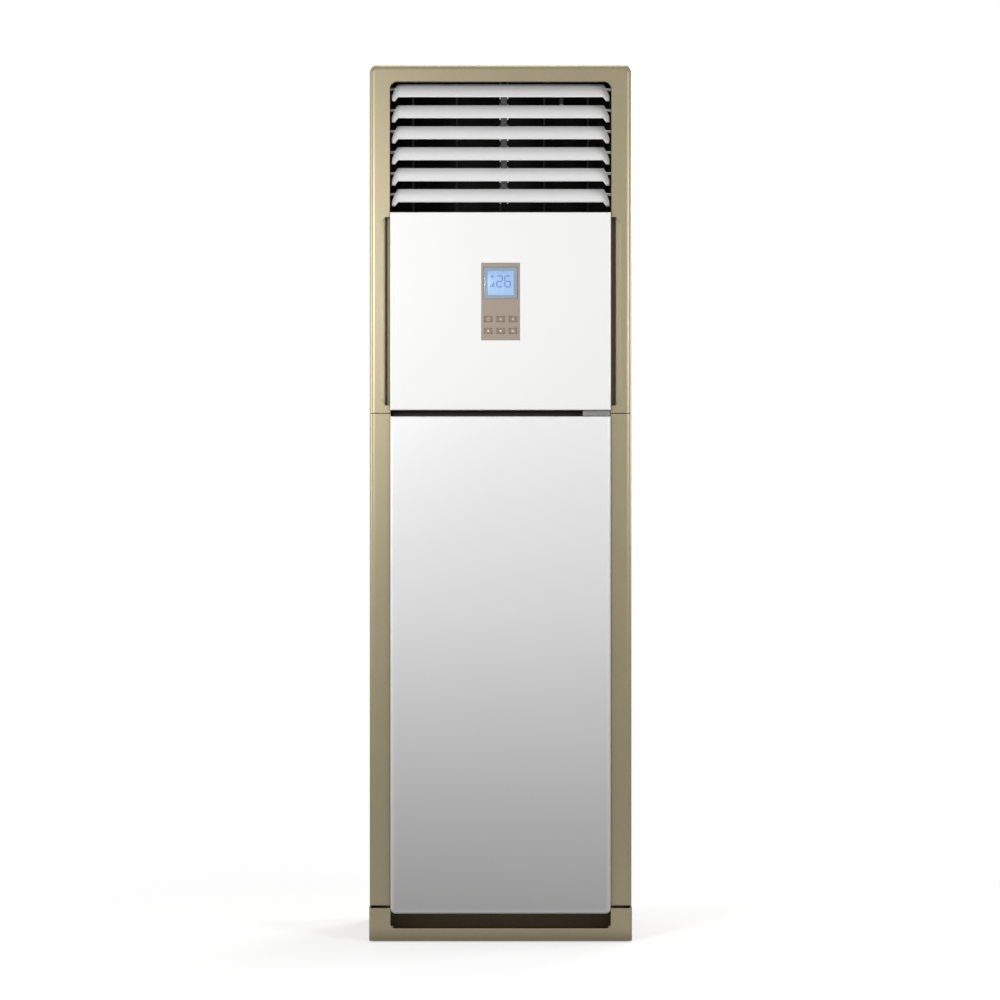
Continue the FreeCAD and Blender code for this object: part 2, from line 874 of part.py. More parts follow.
def make_display_board():
    """The circuit board behind the bezel, with the display module and six small switches."""
    board_half = bezel_half - s.board_margin
    board = box(-board_half, board_half, board_front, board_front + s.board_sheet,
                bezel_bottom + s.board_margin, bezel_top - s.board_margin)
    module = box(-lens_half, lens_half, lens_back, board_front, lens_bottom, lens_top)
    reach = s.switch_width / 2
    switches = [box(x - reach, x + reach, board_front - s.switch_height, board_front, z - reach, z + reach)
                for x, z in keys]
    node("display_board", fuse(board, module, *switches))


def make_buttons():
    """Six rounded keys. Each is held behind the bezel by its flange and moves inwards."""
    half_width = s.key_width / 2
    half_height = s.key_height / 2
    flange_front = bezel_back + s.key_seat
    flange_back = flange_front + s.key_flange_sheet
    stem_end = board_front - s.switch_height - s.key_travel - s.key_stop
    body = new_body()
    pad(body, "XZ", front, flange_front, rectangle(-half_width, half_width, -half_height, half_height))
    round_edges(body, s.key_corner, lambda edge: is_at(edge, x=edge.BoundBox.XMin, z=edge.BoundBox.ZMin))
    flange_half = half_width + s.key_flange
    flange_rise = half_height + s.key_flange
    pad(body, "XZ", flange_front, flange_back,
        rectangle(-flange_half, flange_half, -flange_rise, flange_rise))
    pad_circle(body, "XZ", flange_back, stem_end, 0, 0, s.key_stem)
    for number, (x, z) in enumerate(keys, start=1):
        node(f"button_{number}", copy_at(body, x, 0, z))


# Outlet duct, louvres and vanes

duct_roof = outlet_top + s.duct_headroom
duct_floor = outlet_bottom - s.wall
duct_rear = cabinet_back - s.duct_rear_gap
louvre_y = frame_front + s.louvre_setback
vane_y = louvre_y + s.vane_setback
louvre_pitch = (s.outlet_height - s.louvre_sill + s.louvre_head) / LOUVRE_COUNT
louvre_z = [outlet_top + s.louvre_head - louvre_pitch * (index + 0.5) for index in range(LOUVRE_COUNT)]
crank_angle = s.crank_lift - s.louvre_tilt
vane_pitch = outlet_half * 2 / VANE_COUNT
vane_x = [vane_pitch * (index - (VANE_COUNT - 1) / 2) for index in range(VANE_COUNT)]
vane_bottom = outlet_bottom + s.vane_lift
vane_top = duct_roof - s.vane_head


def make_outlet_duct():
    """The black duct that turns the air forward. Its walls carry the pins of louvres and vanes."""
    outer_half = outlet_half + s.wall
    turn_y = duct_rear - s.duct_turn
    turn_z = duct_roof + s.wall - s.duct_turn
    inner_turn = s.duct_turn - s.wall
    shell = fuse(
        box(-outer_half, outer_half, lip_back, turn_y, duct_floor, duct_roof + s.wall),
        box(-outer_half, outer_half, lip_back, duct_rear, duct_floor, turn_z),
        cylinder("X", turn_y, turn_z, -outer_half, outer_half, s.duct_turn))
    floor_end = vane_y + s.floor_reach
    hollow = fuse(
        box(-outlet_half, outlet_half, lip_back, turn_y, outlet_bottom, duct_roof),
        box(-outlet_half, outlet_half, lip_back, duct_rear - s.wall, outlet_bottom, turn_z),
        box(-outlet_half, outlet_half, floor_end, duct_rear - s.wall, duct_floor, turn_z),
        cylinder("X", turn_y, turn_z, -outlet_half, outlet_half, inner_turn))
    pin_hole = s.louvre_pin + s.pin_gap
    holes = [cylinder("X", louvre_y, z, -outer_half, outer_half, pin_hole) for z in louvre_z]
    vane_hole = s.vane_pin + s.pin_gap
    holes += [cylinder("Z", x, vane_y, duct_floor, duct_roof + s.wall, vane_hole) for x in vane_x]
    node("outlet_duct", cut(cut(shell, hollow), group(holes)))


def louvre_blade():
    """A crowned blade with tapered, eared ends, drawn flat about its pivot line."""
    half_chord = s.louvre_chord / 2
    end = outlet_half - s.louvre_end_gap
    rear_end = end - s.louvre_taper
    ear_inside = end - s.ear_width
    ear_tip = end - s.ear_width / 2
    ear_y = -half_chord - s.ear_length
    crown_z = s.louvre_sheet / 2 - s.louvre_crown
    inner_crown = s.louvre_crown - s.louvre_sheet
    right = [(rear_end, half_chord), (end, -half_chord), (end, ear_y), (ear_tip, ear_y),
             (ear_inside, -half_chord)]
    left = [(-u, v) for u, v in reversed(right)]
    plan = new_body()
    pad(plan, "XY", -s.crank_radius, s.crank_radius, right + left)
    shell = ring("X", 0, crown_z, -end, end, s.louvre_crown, inner_crown)
    return common(shell, plan)


def louvre_pieces():
    """Blade, end pins and the fork with its crank pin for the link bar, drawn flat."""
    end = outlet_half - s.louvre_end_gap
    pin_start = end - s.louvre_taper
    pin_end = outlet_half + s.wall
    pin_y = s.crank_radius * cosine(crank_angle)
    pin_z = s.crank_radius * sine(crank_angle)
    fork_inside = s.link_width / 2 + s.link_gap
    fork_outside = fork_inside + s.fork_sheet
    pieces = [louvre_blade()]
    pieces.append(cylinder("X", 0, 0, pin_start, pin_end, s.louvre_pin))
    pieces.append(cylinder("X", 0, 0, -pin_end, -pin_start, s.louvre_pin))
    for start in (s.link_x + fork_inside, s.link_x - fork_outside):
        pieces.append(box(start, start + s.fork_sheet, -s.fork_front, pin_y + s.fork_margin,
                          pin_z - s.fork_margin, -s.louvre_sheet / 2))
    pieces.append(cylinder("X", pin_y, pin_z, s.link_x - fork_outside, s.link_x + fork_outside, s.crank_pin))
    return pieces


def make_louvres():
    """Six louvres, numbered from the top. The second has a thumb tab on its rear edge."""
    plain = fuse(*louvre_pieces())
    half_chord = s.louvre_chord / 2
    edge_drop = s.louvre_crown - s.louvre_crown * cosine(lean_angle(half_chord, s.louvre_crown))
    tab_top = -edge_drop + s.tab_sheet / 2
    tab = box(s.tab_x - s.tab_width / 2, s.tab_x + s.tab_width / 2, half_chord - s.louvre_sheet, s.tab_reach,
              tab_top - s.tab_sheet, tab_top)
    tabbed = fuse(*louvre_pieces(), tab)
    for number, z in enumerate(louvre_z, start=1):
        template = tabbed if number == 2 else plain
        node(f"horizontal_louvre_{number}", tilted_copy(template, s.louvre_tilt, 0, louvre_y, z))


def make_louvre_link_bar():
    """The bar behind the louvres that joins their crank pins."""
    pin_y = louvre_y + s.crank_radius * cosine(s.crank_lift)
    pin_rise = s.crank_radius * sine(s.crank_lift)
    half_width = s.link_width / 2
    half_depth = s.link_depth / 2
    left = s.link_x - half_width
    right = s.link_x + half_width
    pins = [z + pin_rise for z in louvre_z]
    bar = box(left, right, pin_y - half_depth, pin_y + half_depth, pins[-1], pins[0])
    ends = [cylinder("X", pin_y, z, left, right, half_depth) for z in (pins[0], pins[-1])]
    holes = [cylinder("X", pin_y, z, left, right, s.crank_pin + s.pin_gap) for z in pins]
    node("louvre_link_bar", cut(fuse(bar, *ends), *holes))


def vane_pieces(lower_end):
    """One upright vane with its pivot pins and the crank pin under its rear edge."""
    half_sheet = s.vane_sheet / 2
    half_chord = s.vane_chord / 2
    bar_bottom = vane_bottom - s.swing_bar_drop - s.swing_bar_sheet
    return [
        box(-half_sheet, half_sheet, -half_chord, half_chord, vane_bottom, vane_top),
        cylinder("Z", 0, 0, lower_end, vane_bottom + s.vane_chord, s.vane_pin),
        cylinder("Z", 0, 0, vane_top - s.vane_chord, duct_roof + s.wall, s.vane_pin),
        cylinder("Z", 0, s.vane_crank, bar_bottom, vane_bottom + s.vane_pin, s.vane_crank_pin)]


def make_vertical_vanes():
    """Five upright vanes, numbered from the left. The middle one is driven by the swing motor."""
    plain = fuse(*vane_pieces(duct_floor))
    driven = fuse(*vane_pieces(duct_floor - s.swing_motor_bore + s.press_gap))
    for index, x in enumerate(vane_x):
        template = driven if index == VANE_LEADER else plain
        node(f"vertical_vane_{index + 1}", copy_at(template, x, vane_y, 0))


def make_swing_link_bar():
    """The flat bar under the vanes that joins their crank pins."""
    pin_y = vane_y + s.vane_crank
    half_width = s.swing_bar_width / 2
    top = vane_bottom - s.swing_bar_drop
    bottom = top - s.swing_bar_sheet
    bar = box(vane_x[0], vane_x[-1], pin_y - half_width, pin_y + half_width, bottom, top)
    ends = [cylinder("Z", x, pin_y, bottom, top, half_width) for x in (vane_x[0], vane_x[-1])]
    holes = [cylinder("Z", x, pin_y, bottom, top, s.vane_crank_pin + s.pin_gap) for x in vane_x]
    node("swing_link_bar", cut(fuse(bar, *ends), *holes))


def make_swing_motor():
    """The small geared motor under the duct floor that turns the middle vane."""
    bottom = duct_floor - s.swing_motor_height
    case = cylinder("Z", 0, vane_y, bottom, duct_floor, s.swing_motor_radius)
    ears = box(-s.swing_ear, s.swing_ear, vane_y - s.swing_bar_width / 2, vane_y + s.swing_bar_width / 2,
               duct_floor - s.swing_bar_sheet, duct_floor)
    bore = cylinder("Z", 0, vane_y, duct_floor - s.swing_motor_bore, duct_floor, s.vane_pin + s.pin_gap)
    node("swing_motor", cut(fuse(case, ears), bore))


# Lower door

door_back = frame_back - s.door_gap
guide_half = frame_inner_half - s.guide_inset
filter_half = guide_half - s.wall
filter_back = door_back - s.door_gap
filter_front = filter_back - s.filter_depth
filter_bottom = door_bottom + s.filter_foot
filter_top = door_panel_top - s.wall - s.filter_foot


def make_lower_frame():
    """The door's frame: two box rails with air slits, cross members and the pins of its hinge."""
    body = new_body()
    pad(body, "XZ", frame_front, door_back, rectangle(-frame_half, frame_half, door_bottom, door_top))
    round_edges(body, s.frame_round,
                lambda edge: is_at(edge, y=frame_front, x=edge.BoundBox.XMin))
    pocket(body, "XZ", plate_back, door_back,
           rectangle(-frame_inner_half, frame_inner_half, door_bottom, door_top - s.wall))
    window_half = panel_half - s.window_side
    pocket(body, "XZ", frame_front, plate_back,
           rectangle(-window_half, window_half, door_bottom + s.window_margin,
                     door_panel_top - s.window_margin))
    guide_outside = filter_half + s.wall
    pad(body, "XZ", plate_back, filter_back,
        rectangle(filter_half, guide_outside, filter_bottom, door_top - s.wall),
        rectangle(-guide_outside, -filter_half, filter_bottom, door_top - s.wall))
    slot_half = panel_half + s.wall
    door_slot_back = slot_back - s.seal_gap
    pad(body, "XZ", plate_back, door_slot_back + s.wall,
        rectangle(-slot_half, slot_half, door_panel_top - s.wall, door_top - s.wall))
    pocket(body, "XZ", frame_front, door_slot_back,
           rectangle(-panel_half, panel_half, door_panel_top, door_top))
    catch_left = panel_half - s.catch_width
    pocket(body, "XZ", frame_front, door_back,
           rectangle(catch_left - s.catch_gap, panel_half, door_panel_top, door_top))
    hinge_end = frame_inner_half - s.hinge_reach
    pad_circle(body, "YZ", hinge_end, frame_inner_half, hinge_y, hinge_z, s.hinge_radius)
    pad_circle(body, "YZ", -frame_inner_half, -hinge_end, hinge_y, hinge_z, s.hinge_radius)
    slit_front = frame_front + s.slit_setback
    slit_bottom = filter_bottom + s.slit_margin
    slit_space = filter_top - s.slit_margin - slit_bottom
    slits = int(slit_space.value // s.slit_pitch.value)
    slit = rectangle(slit_front, slit_front + s.slit_width, slit_bottom, slit_bottom + s.slit_height)
    first_slit = pocket(body, "YZ", -frame_half, frame_half, slit)
    doc.recompute()
    pattern = body.newObject("PartDesign::LinearPattern", "Slits")
    pattern.Originals = [first_slit]
    pattern.Direction = (first_slit.Profile[0], ["V_Axis"])
    bind(pattern, "Length", (slits - 1) * s.slit_pitch)
    pattern.Occurrences = slits
    body.Tip = pattern
    node("lower_frame", body)


def make_lower_panel():
    """The silver face of the door, a shallow shell fixed to the front of its frame."""
    rim = panel_half - s.door_skin
    body = new_body()
    pad(body, "XZ", front, frame_front,
        rectangle(-panel_half, panel_half, door_panel_bottom, door_panel_top))
    round_edges(body, s.door_corner,
                lambda edge: is_at(edge, z=door_panel_bottom, x=edge.BoundBox.XMin))
    round_edges(body, s.door_round, lambda edge: is_at(edge, y=front))
    low = door_panel_bottom + s.door_skin
    pocket(body, "XZ", front + s.door_skin, frame_front,
           [(-rim, low + s.door_corner), (-rim + s.door_corner, low), (rim - s.door_corner, low),
            (rim, low + s.door_corner), (rim, door_panel_top - s.door_skin),
            (-rim, door_panel_top - s.door_skin)])
    node("lower_panel", body)


def make_door_seal():
    """The black strip at the back of the finger slot, fixed to the top of the door."""
    seal_back = slot_back - s.seal_gap
    node("door_seal", box(-panel_half, panel_half - s.catch_width - s.catch_gap, seal_back - s.seal_depth,
                          seal_back, door_panel_top, control_bottom - s.seal_head))


def make_panel_catch():
    """The grey catch block at the right end of the finger slot, fixed to the upper frame."""
    catch_left = panel_half - s.catch_width
    node("panel_catch", box(catch_left, panel_half - s.catch_gap, frame_front + s.catch_gap, slot_back,
                            door_panel_top + s.catch_gap, control_bottom))


def make_filter():
    """A ribbed filter frame that slides between the guides of the door, and its flat net."""
    inside = filter_half - s.filter_border
    low = filter_bottom + s.filter_border
    high = filter_top - s.filter_border
    outer = box(-filter_half, filter_half, filter_front, filter_back, filter_bottom, filter_top)
    border = cut(outer, box(-inside, inside, filter_front, filter_back, low, high))
    net_front = filter_front + s.filter_depth / 2
    net_back = net_front + s.mesh_sheet
    half_rib = s.filter_rib / 2
    ribs = [box(-half_rib, half_rib, net_back, filter_back, low, high)]
    for index in (1, 2, 3):
        z = low + (high - low) * index / 4
        ribs.append(box(-inside, inside, net_back, filter_back, z - half_rib, z + half_rib))
    node("filter_frame", fuse(border, *ribs))
    column_pitch = inside.value * 2 / MESH_COLUMNS
    row_pitch = (high - low).value / MESH_ROWS
    half_wire = s.mesh_wire.value / 2
    level = net_front.value
    wires = [corner_loop(-inside.value, inside.value, low.value, high.value, level)]
    for column in range(MESH_COLUMNS):
        x = -inside.value + column * column_pitch
        for line in range(MESH_ROWS):
            z = low.value + line * row_pitch
            wires.append(corner_loop(x + half_wire, x + column_pitch - half_wire, z + half_wire,
                                     z + row_pitch - half_wire, level))
    net = Part.makeFace(wires, "Part::FaceMakerBullseye")
    node("filter_mesh", code_solid(net.extrude(Vector(0, s.mesh_sheet.value, 0))))


def corner_loop(x0, x1, z0, z1, y):
    corners = [(x0, z0), (x1, z0), (x1, z1), (x0, z1), (x0, z0)]
    return Part.makePolygon([Vector(x, y, z) for x, z in corners])


# Blower

scroll_front_face = frame_back + s.plenum
scroll_front_back = scroll_front_face + s.plate
fan_height = s.deck_height - s.fan_drop
motor_back = cabinet_back - s.motor_gap
motor_front = motor_back - s.motor_length
bracket_front = motor_front - s.bracket_sheet
scroll_rear_front = bracket_front - s.plate
wheel_back = scroll_rear_front - s.wheel_gap
wheel_front = scroll_front_back + s.inlet_gap
scroll_plate_half = inner_half - s.pan_sheet - s.press_gap
half_step = s.scroll_step / 2
outlet_left = -(inner_half - s.scroll_gap)
left_radius = -outlet_left - s.plate - half_step
bottom_radius = left_radius - s.scroll_step
right_radius = bottom_radius - s.scroll_step
wheel_radius = right_radius - half_step - s.cutoff_gap
inlet_radius = wheel_radius - s.inlet_step
deck_top = s.deck_height + s.sheet
pipe_x = inner_half - s.pipe_inset
hose_x = inner_half - s.hose_inset
fitting_x = inner_half - s.fitting_inset
partition_front = frame_back + s.sheet
partition_back = partition_front + s.sheet


def spiral_side(offset):
    """The scroll's outline from the outlet's left wall round to its tongue, grown by an offset."""
    x, z = 0.0, fan_height.value
    half = half_step.value
    radii = [radius.value + offset for radius in (left_radius, bottom_radius, right_radius)]
    centres = [Vector(x - half, 0, z + half), Vector(x - half, 0, z - half), Vector(x + half, 0, z - half)]
    left, bottom, right = centres
    tongue_x = half + offset
    tongue_z = right.z + math.sqrt(radii[2] ** 2 - offset ** 2)
    top = s.deck_height.value
    slant = math.sqrt(0.5)
    points = [
        Vector(left.x - radii[0], 0, top),
        Vector(left.x - radii[0], 0, left.z),
        Vector(left.x, 0, left.z - radii[0]),
        Vector(right.x + radii[2], 0, right.z),
        Vector(tongue_x, 0, tongue_z),
        Vector(tongue_x, 0, top)]
    lower_left = left + Vector(-slant, 0, -slant) * radii[0]
    lower_right = bottom + Vector(slant, 0, -slant) * radii[1]
    middle_angle = (math.atan2(tongue_z - right.z, offset)) / 2
    upper_right = right + Vector(math.cos(middle_angle), 0, math.sin(middle_angle)) * radii[2]
    return [
        Part.LineSegment(points[0], points[1]).toShape(),
        Part.Arc(points[1], lower_left, points[2]).toShape(),
        Part.Arc(points[2], lower_right, points[3]).toShape(),
        Part.Arc(points[3], upper_right, points[4]).toShape(),
        Part.LineSegment(points[4], points[5]).toShape()], points


def make_scroll():
    """The snail housing: a rear plate with the wrapped wall, and a front plate with the inlet."""
    inner, inner_points = spiral_side(0.0)
    outer, outer_points = spiral_side(s.plate.value)
    ends = [Part.LineSegment(inner_points[0], outer_points[0]).toShape(),
            Part.LineSegment(inner_points[-1], outer_points[-1]).toShape()]
    wire = Part.Wire(Part.__sortEdges__(inner + outer + ends))
    depth = scroll_rear_front - scroll_front_back
    wrap = code_solid(Part.Face(wire).extrude(Vector(0, depth.value, 0)))
    place(wrap, 0, scroll_front_back, 0)
    scroll_rear_back = scroll_rear_front + s.plate
    rear_plate = box(-scroll_plate_half, scroll_plate_half, scroll_rear_front, scroll_rear_back, pan_top,
                     s.deck_height)
    holes = [cylinder("Y", 0, fan_height, scroll_rear_front, scroll_rear_back, s.motor_hole)]
    for x, z, radius in ((pipe_x, s.gas_end, s.gas_radius), (pipe_x, s.liquid_end, s.liquid_radius),
                         (hose_x, s.hose_end, s.hose_radius)):
        holes.append(cylinder("Y", x, z, scroll_rear_front, scroll_rear_back, radius + s.pipe_hole_gap))
    node("scroll_rear", fuse(wrap, cut(rear_plate, *holes)))
    front_plate = box(-scroll_plate_half, scroll_plate_half, scroll_front_face, scroll_front_back, pan_top,
                      s.deck_height)
    mouth = cylinder("Y", 0, fan_height, scroll_front_face, scroll_front_back + s.bellmouth,
                     inlet_radius + s.plate)
    inlet = cylinder("Y", 0, fan_height, scroll_front_face, scroll_front_back + s.bellmouth, inlet_radius)
    node("scroll_front", cut(fuse(front_plate, mouth), inlet))


def make_fan_guard():
    """A moulded grille of rings and spokes over the inlet, fixed to the scroll's front plate."""
    guard_front = scroll_front_face - s.guard_wire
    rim = inlet_radius + s.guard_rim
    pieces = [ring("Y", 0, fan_height, guard_front, scroll_front_face, rim, inlet_radius - s.guard_wire)]
    rings = int((inlet_radius.value - s.guard_wire.value) // s.guard_ring_gap.value)
    for index in range(1, rings + 1):
        radius = index * s.guard_ring_gap
        pieces.append(ring("Y", 0, fan_height, guard_front, scroll_front_face, radius, radius - s.guard_wire))
    for index in range(GUARD_SPOKES // 2):
        spoke = box(-inlet_radius, inlet_radius, guard_front, scroll_front_face, -s.guard_wire / 2,
                    s.guard_wire / 2)
        turned = group([spoke])
        turned.Placement = Placement(Vector(), Rotation(Vector(0, 1, 0), 360 * index / GUARD_SPOKES))
        bind(turned, "Placement.Base.z", fan_height)
        pieces.append(turned)
    node("fan_guard", fuse(*pieces))


def blade_outline(sketch):
    """One forward-curved blade: two arcs that lean with the turn, closed at both ends."""
    outer = wheel_radius.value
    inner = outer - s.blade_depth.value
    sheet_angle = math.degrees(s.blade_sheet.value / outer)
    sweep = s.blade_sweep.value

    def point(radius, angle):
        return Vector(radius * math.cos(math.radians(angle)), radius * math.sin(math.radians(angle)), 0)

    middle = (outer + inner) / 2
    first = [point(inner, 0), point(middle, sweep * 0.3), point(outer - s.wheel_plate.value, sweep)]
    second = [point(inner, sheet_angle), point(middle, sweep * 0.3 + sheet_angle),
              point(outer - s.wheel_plate.value, sweep + sheet_angle)]
    sketch.addGeometry(Part.Arc(*first), False)
    sketch.addGeometry(Part.LineSegment(first[2], second[2]), False)
    sketch.addGeometry(Part.Arc(*second), False)
    sketch.addGeometry(Part.LineSegment(second[0], first[0]), False)
    for index in range(4):
        sketch.addConstraint(Sketcher.Constraint("Block", index))


def make_fan_wheel():
    """A forward-curved wheel: back plate, hub, front ring and a crown of blades."""
    plate_front = wheel_back - s.wheel_plate
    body = new_body()
    pad_circle(body, "XZ", plate_front, wheel_back, 0, 0, wheel_radius)
    pad_circle(body, "XZ", wheel_back - s.hub_length, plate_front, 0, 0, s.hub_radius)
    sketch = sketch_at(body, "XZ", wheel_front)
    blade_outline(sketch)
    blade = add_feature(body, "Pad", sketch, wheel_front, plate_front)
    blade.Reversed = True
    doc.recompute()
    pattern = body.newObject("PartDesign::PolarPattern", "Blades")
    pattern.Originals = [blade]
    pattern.Axis = (sketch, ["N_Axis"])
    pattern.Angle = 360
    pattern.Occurrences = BLADE_COUNT
    body.Tip = pattern
    place(body, 0, 0, fan_height)
    ring_inside = wheel_radius - s.blade_depth / 2
    rim = ring("Y", 0, fan_height, wheel_front, wheel_front + s.wheel_plate, wheel_radius, ring_inside)
    bore = cylinder("Y", 0, fan_height, wheel_back - s.hub_length, wheel_back, s.shaft_radius + s.pin_gap)
    node("fan_wheel", cut(fuse(body, rim), bore))


def make_fan_shaft():
    """The motor's shaft through the wheel's hub, with its nut in front."""
    nose = wheel_back - s.hub_length - s.shaft_nose
    nut_back = wheel_back - s.hub_length
    shaft = cylinder("Y", 0, fan_height, nose, motor_back - s.motor_gap, s.shaft_radius)
    nut = cylinder("Y", 0, fan_height, nut_back - s.shaft_nut, nut_back, s.shaft_nut)
    node("fan_shaft", fuse(shaft, nut))


def make_fan_motor():
    """The fan motor with its rear cap, bolted to the bracket."""
    case = cylinder("Y", 0, fan_height, motor_front, motor_back - s.motor_cap, s.motor_radius)
    cap = cylinder("Y", 0, fan_height, motor_back - s.motor_cap, motor_back, s.motor_radius - s.motor_cap)
    bore = cylinder("Y", 0, fan_height, motor_front, motor_back - s.motor_gap + s.press_gap,
                    s.shaft_radius + s.shaft_gap)
    node("fan_motor", cut(fuse(case, cap), bore))


def make_motor_bracket():
    """A steel plate on the back of the scroll that carries the motor."""
    plate = box(-s.bracket_half_width, s.bracket_half_width, bracket_front, motor_front,
                fan_height - s.bracket_half_height, fan_height + s.bracket_half_height)
    hub = cylinder("Y", 0, fan_height, bracket_front, motor_front, s.motor_radius + s.motor_cap)
    hole = cylinder("Y", 0, fan_height, bracket_front, motor_front, s.hub_radius)
    node("motor_bracket", cut(fuse(plate, hub), hole))


# Coil, drain and pipes

drain_bottom = deck_top + s.drain_rise
drain_back = partition_back + s.drain_depth
coil_base_y = partition_back + s.coil_foot
coil_base_z = drain_bottom + s.plate
coil_top_z = outlet_bottom - s.coil_headroom
coil_top_y = cabinet_back - s.coil_rear_gap - s.coil_depth / 2
coil_lean = lean_angle(coil_top_y - coil_base_y, coil_top_z - coil_base_z)
coil_length = (coil_top_z - coil_base_z) / cosine(coil_lean)
bend_pitch = coil_length / BEND_ROWS
coil_half = inner_half - s.coil_margin
coil_lift = s.coil_depth / 2 * sine(coil_lean)


def coil_placed(template):
    """Lean the upright coil back and set its lower edge on the floor of the drain pan."""
    return tilted_copy(template, -coil_lean, 0, coil_base_y, coil_base_z + coil_lift)


def coil_row_at(row):
    """Depth and height of the point halfway between two return bends of the leaning coil."""
    distance = bend_pitch * row
    return coil_base_y + distance * sine(coil_lean), coil_base_z + coil_lift + distance * cosine(coil_lean)


def make_coil():
    """The finned coil: a grooved fin block, two end plates and the return bends."""
    half_depth = s.coil_depth / 2
    block = box(-coil_half, coil_half, -half_depth, half_depth, 0, coil_length)
    grooves = []
    count = int(coil_half.value * 2 // s.fin_pitch.value)
    for index in range(count):
        x = -coil_half + s.fin_pitch * index + (s.fin_pitch - s.fin_gap) / 2
        grooves.append(box(x, x + s.fin_gap, -half_depth, -half_depth + s.fin_groove, 0, coil_length))
        grooves.append(box(x, x + s.fin_gap, half_depth - s.fin_groove, half_depth, 0, coil_length))
    node("coil_fins", coil_placed(cut(block, *grooves)))
    plate_end = coil_half + s.end_sheet
    side = inner_half
    plates = []
    for start, end, tab_start, tab_end in ((coil_half, plate_end, plate_end, side),
                                           (-plate_end, -coil_half, -side, -plate_end)):
        plate = box(start, end, -half_depth, half_depth, 0, coil_length)
        tab = box(tab_start, tab_end, -half_depth, half_depth, coil_length - s.end_sheet, coil_length)
        plates.append(fuse(plate, tab))
    node("coil_end_plates", coil_placed(group(plates)))
    bends = []
    for index in range(BEND_ROWS - 1):
        z = bend_pitch * (index + 0.5)
        for x, turn in ((plate_end, -90), (-plate_end, 90)):
            bend = doc.addObject("Part::Torus", "Bend")
            bind(bend, "Radius1", s.bend_radius)
            bind(bend, "Radius2", s.bend_tube)
            bend.Angle3 = 180
            bend.Placement = Placement(Vector(), Rotation(Vector(0, 0, 1), turn))
            place(bend, x, 0, z)
            bends.append(bend)
    node("coil_tubes", coil_placed(group(bends)))


def make_drain():
    """The pan under the coil and the hose that leads its water out at the back."""
    half = inner_half - s.drain_inset
    top = drain_bottom + s.drain_height
    outer = box(-half, half, partition_back, drain_back, drain_bottom, top)
    inner = box(-half + s.plate, half - s.plate, partition_back + s.plate, drain_back - s.plate,
                drain_bottom + s.plate, top)
    hose_y = partition_back + s.hose_setback
    outlet = cylinder("Z", hose_x, hose_y, drain_bottom, drain_bottom + s.plate, s.hose_radius - s.hose_wall)
    node("drain_pan", cut(cut(outer, inner), outlet))
    node("drain_hose", bent_tube(hose_x, hose_y, drain_bottom, s.hose_end, s.hose_turn,
                                 cabinet_back + s.sheet, s.hose_radius, s.hose_radius - s.hose_wall))


def bent_run(x, y, top, level, turn, end, radius):
    """A run straight down, a quarter turn to the back and a run level to its end."""
    down = cylinder("Z", x, y, level + turn, top, radius)
    bend = doc.addObject("Part::Torus", "Bend")
    bind(bend, "Radius1", turn)
    bind(bend, "Radius2", radius)
    bend.Angle3 = 90
    quarter = Rotation(Vector(0, 1, 0), -90) * Rotation(Vector(0, 0, 1), 180)
    bend.Placement = Placement(Vector(), quarter)
    place(bend, x, y + turn, level + turn)
    level_run = cylinder("Y", x, level, y + turn, end, radius)
    return [down, bend, level_run]


def bent_tube(x, y, top, level, turn, end, radius, bore):
    outside = fuse(*bent_run(x, y, top, level, turn, end, radius))
    inside = fuse(*bent_run(x, y, top, level, turn, end, bore))
    return cut(outside, inside)


def make_refrigerant_pipes():
    """Gas and liquid pipes from the coil down to their flare nuts near the back."""
    end = scroll_rear_front + s.plate + s.pipe_reach
    pieces = []
    for row, level, radius in ((GAS_ROW, s.gas_end, s.gas_radius),
                               (LIQUID_ROW, s.liquid_end, s.liquid_radius)):
        y, height = coil_row_at(row)
        tube = bent_tube(pipe_x, y, height, level, s.pipe_turn, end, radius, radius - s.pipe_wall)
        arm = cylinder("X", y, height, coil_half + s.end_sheet, pipe_x + radius, radius)
        pieces.append(fuse(tube, arm))
        nut = doc.addObject("Part::Prism", "Nut")
        nut.Polygon = 6
        bind(nut, "Circumradius", radius + s.nut_margin)
        bind(nut, "Height", s.nut_length)
        nut.Placement = Placement(Vector(), AXIS_TURN["Y"])
        place(nut, pipe_x, end, level)
        pieces.append(nut)
    node("refrigerant_pipes", group(pieces))


def make_deck_plate():
    """The folded plate over the blower: a deck with the air opening, and the coil's front cover."""
    rear = cabinet_back - s.sheet
    deck = box(-inner_half, inner_half, partition_front, rear, s.deck_height, deck_top)
    cover = box(-inner_half, inner_half, partition_front, partition_back, deck_top, duct_floor)
    opening = box(outlet_left + s.plate, half_step, scroll_front_back, scroll_rear_front, s.deck_height,
                  deck_top)
    hose_y = partition_back + s.hose_setback
    holes = [opening, cylinder("Z", hose_x, hose_y, s.deck_height, deck_top, s.hose_radius + s.pipe_hole_gap)]
    for row, radius in ((GAS_ROW, s.gas_radius), (LIQUID_ROW, s.liquid_radius)):
        y, height = coil_row_at(row)
        holes.append(cylinder("Z", pipe_x, y, s.deck_height, deck_top, radius + s.pipe_hole_gap))
    node("deck_plate", cut(fuse(deck, cover), *holes))


# Fittings in the back panel

def back_fitting(x, z, bore, neck, flange):
    """A ring through a hole in the back panel, with a flange on each side of the sheet."""
    outside = cabinet_back + s.sheet
    end = outside + s.grommet_lip
    start = end - s.grommet_length
    rings = fuse(cylinder("Y", x, z, cabinet_back, outside, neck),
                 cylinder("Y", x, z, outside, end, flange),
                 cylinder("Y", x, z, start, cabinet_back, flange))
    return cut(rings, cylinder("Y", x, z, start, end, bore))


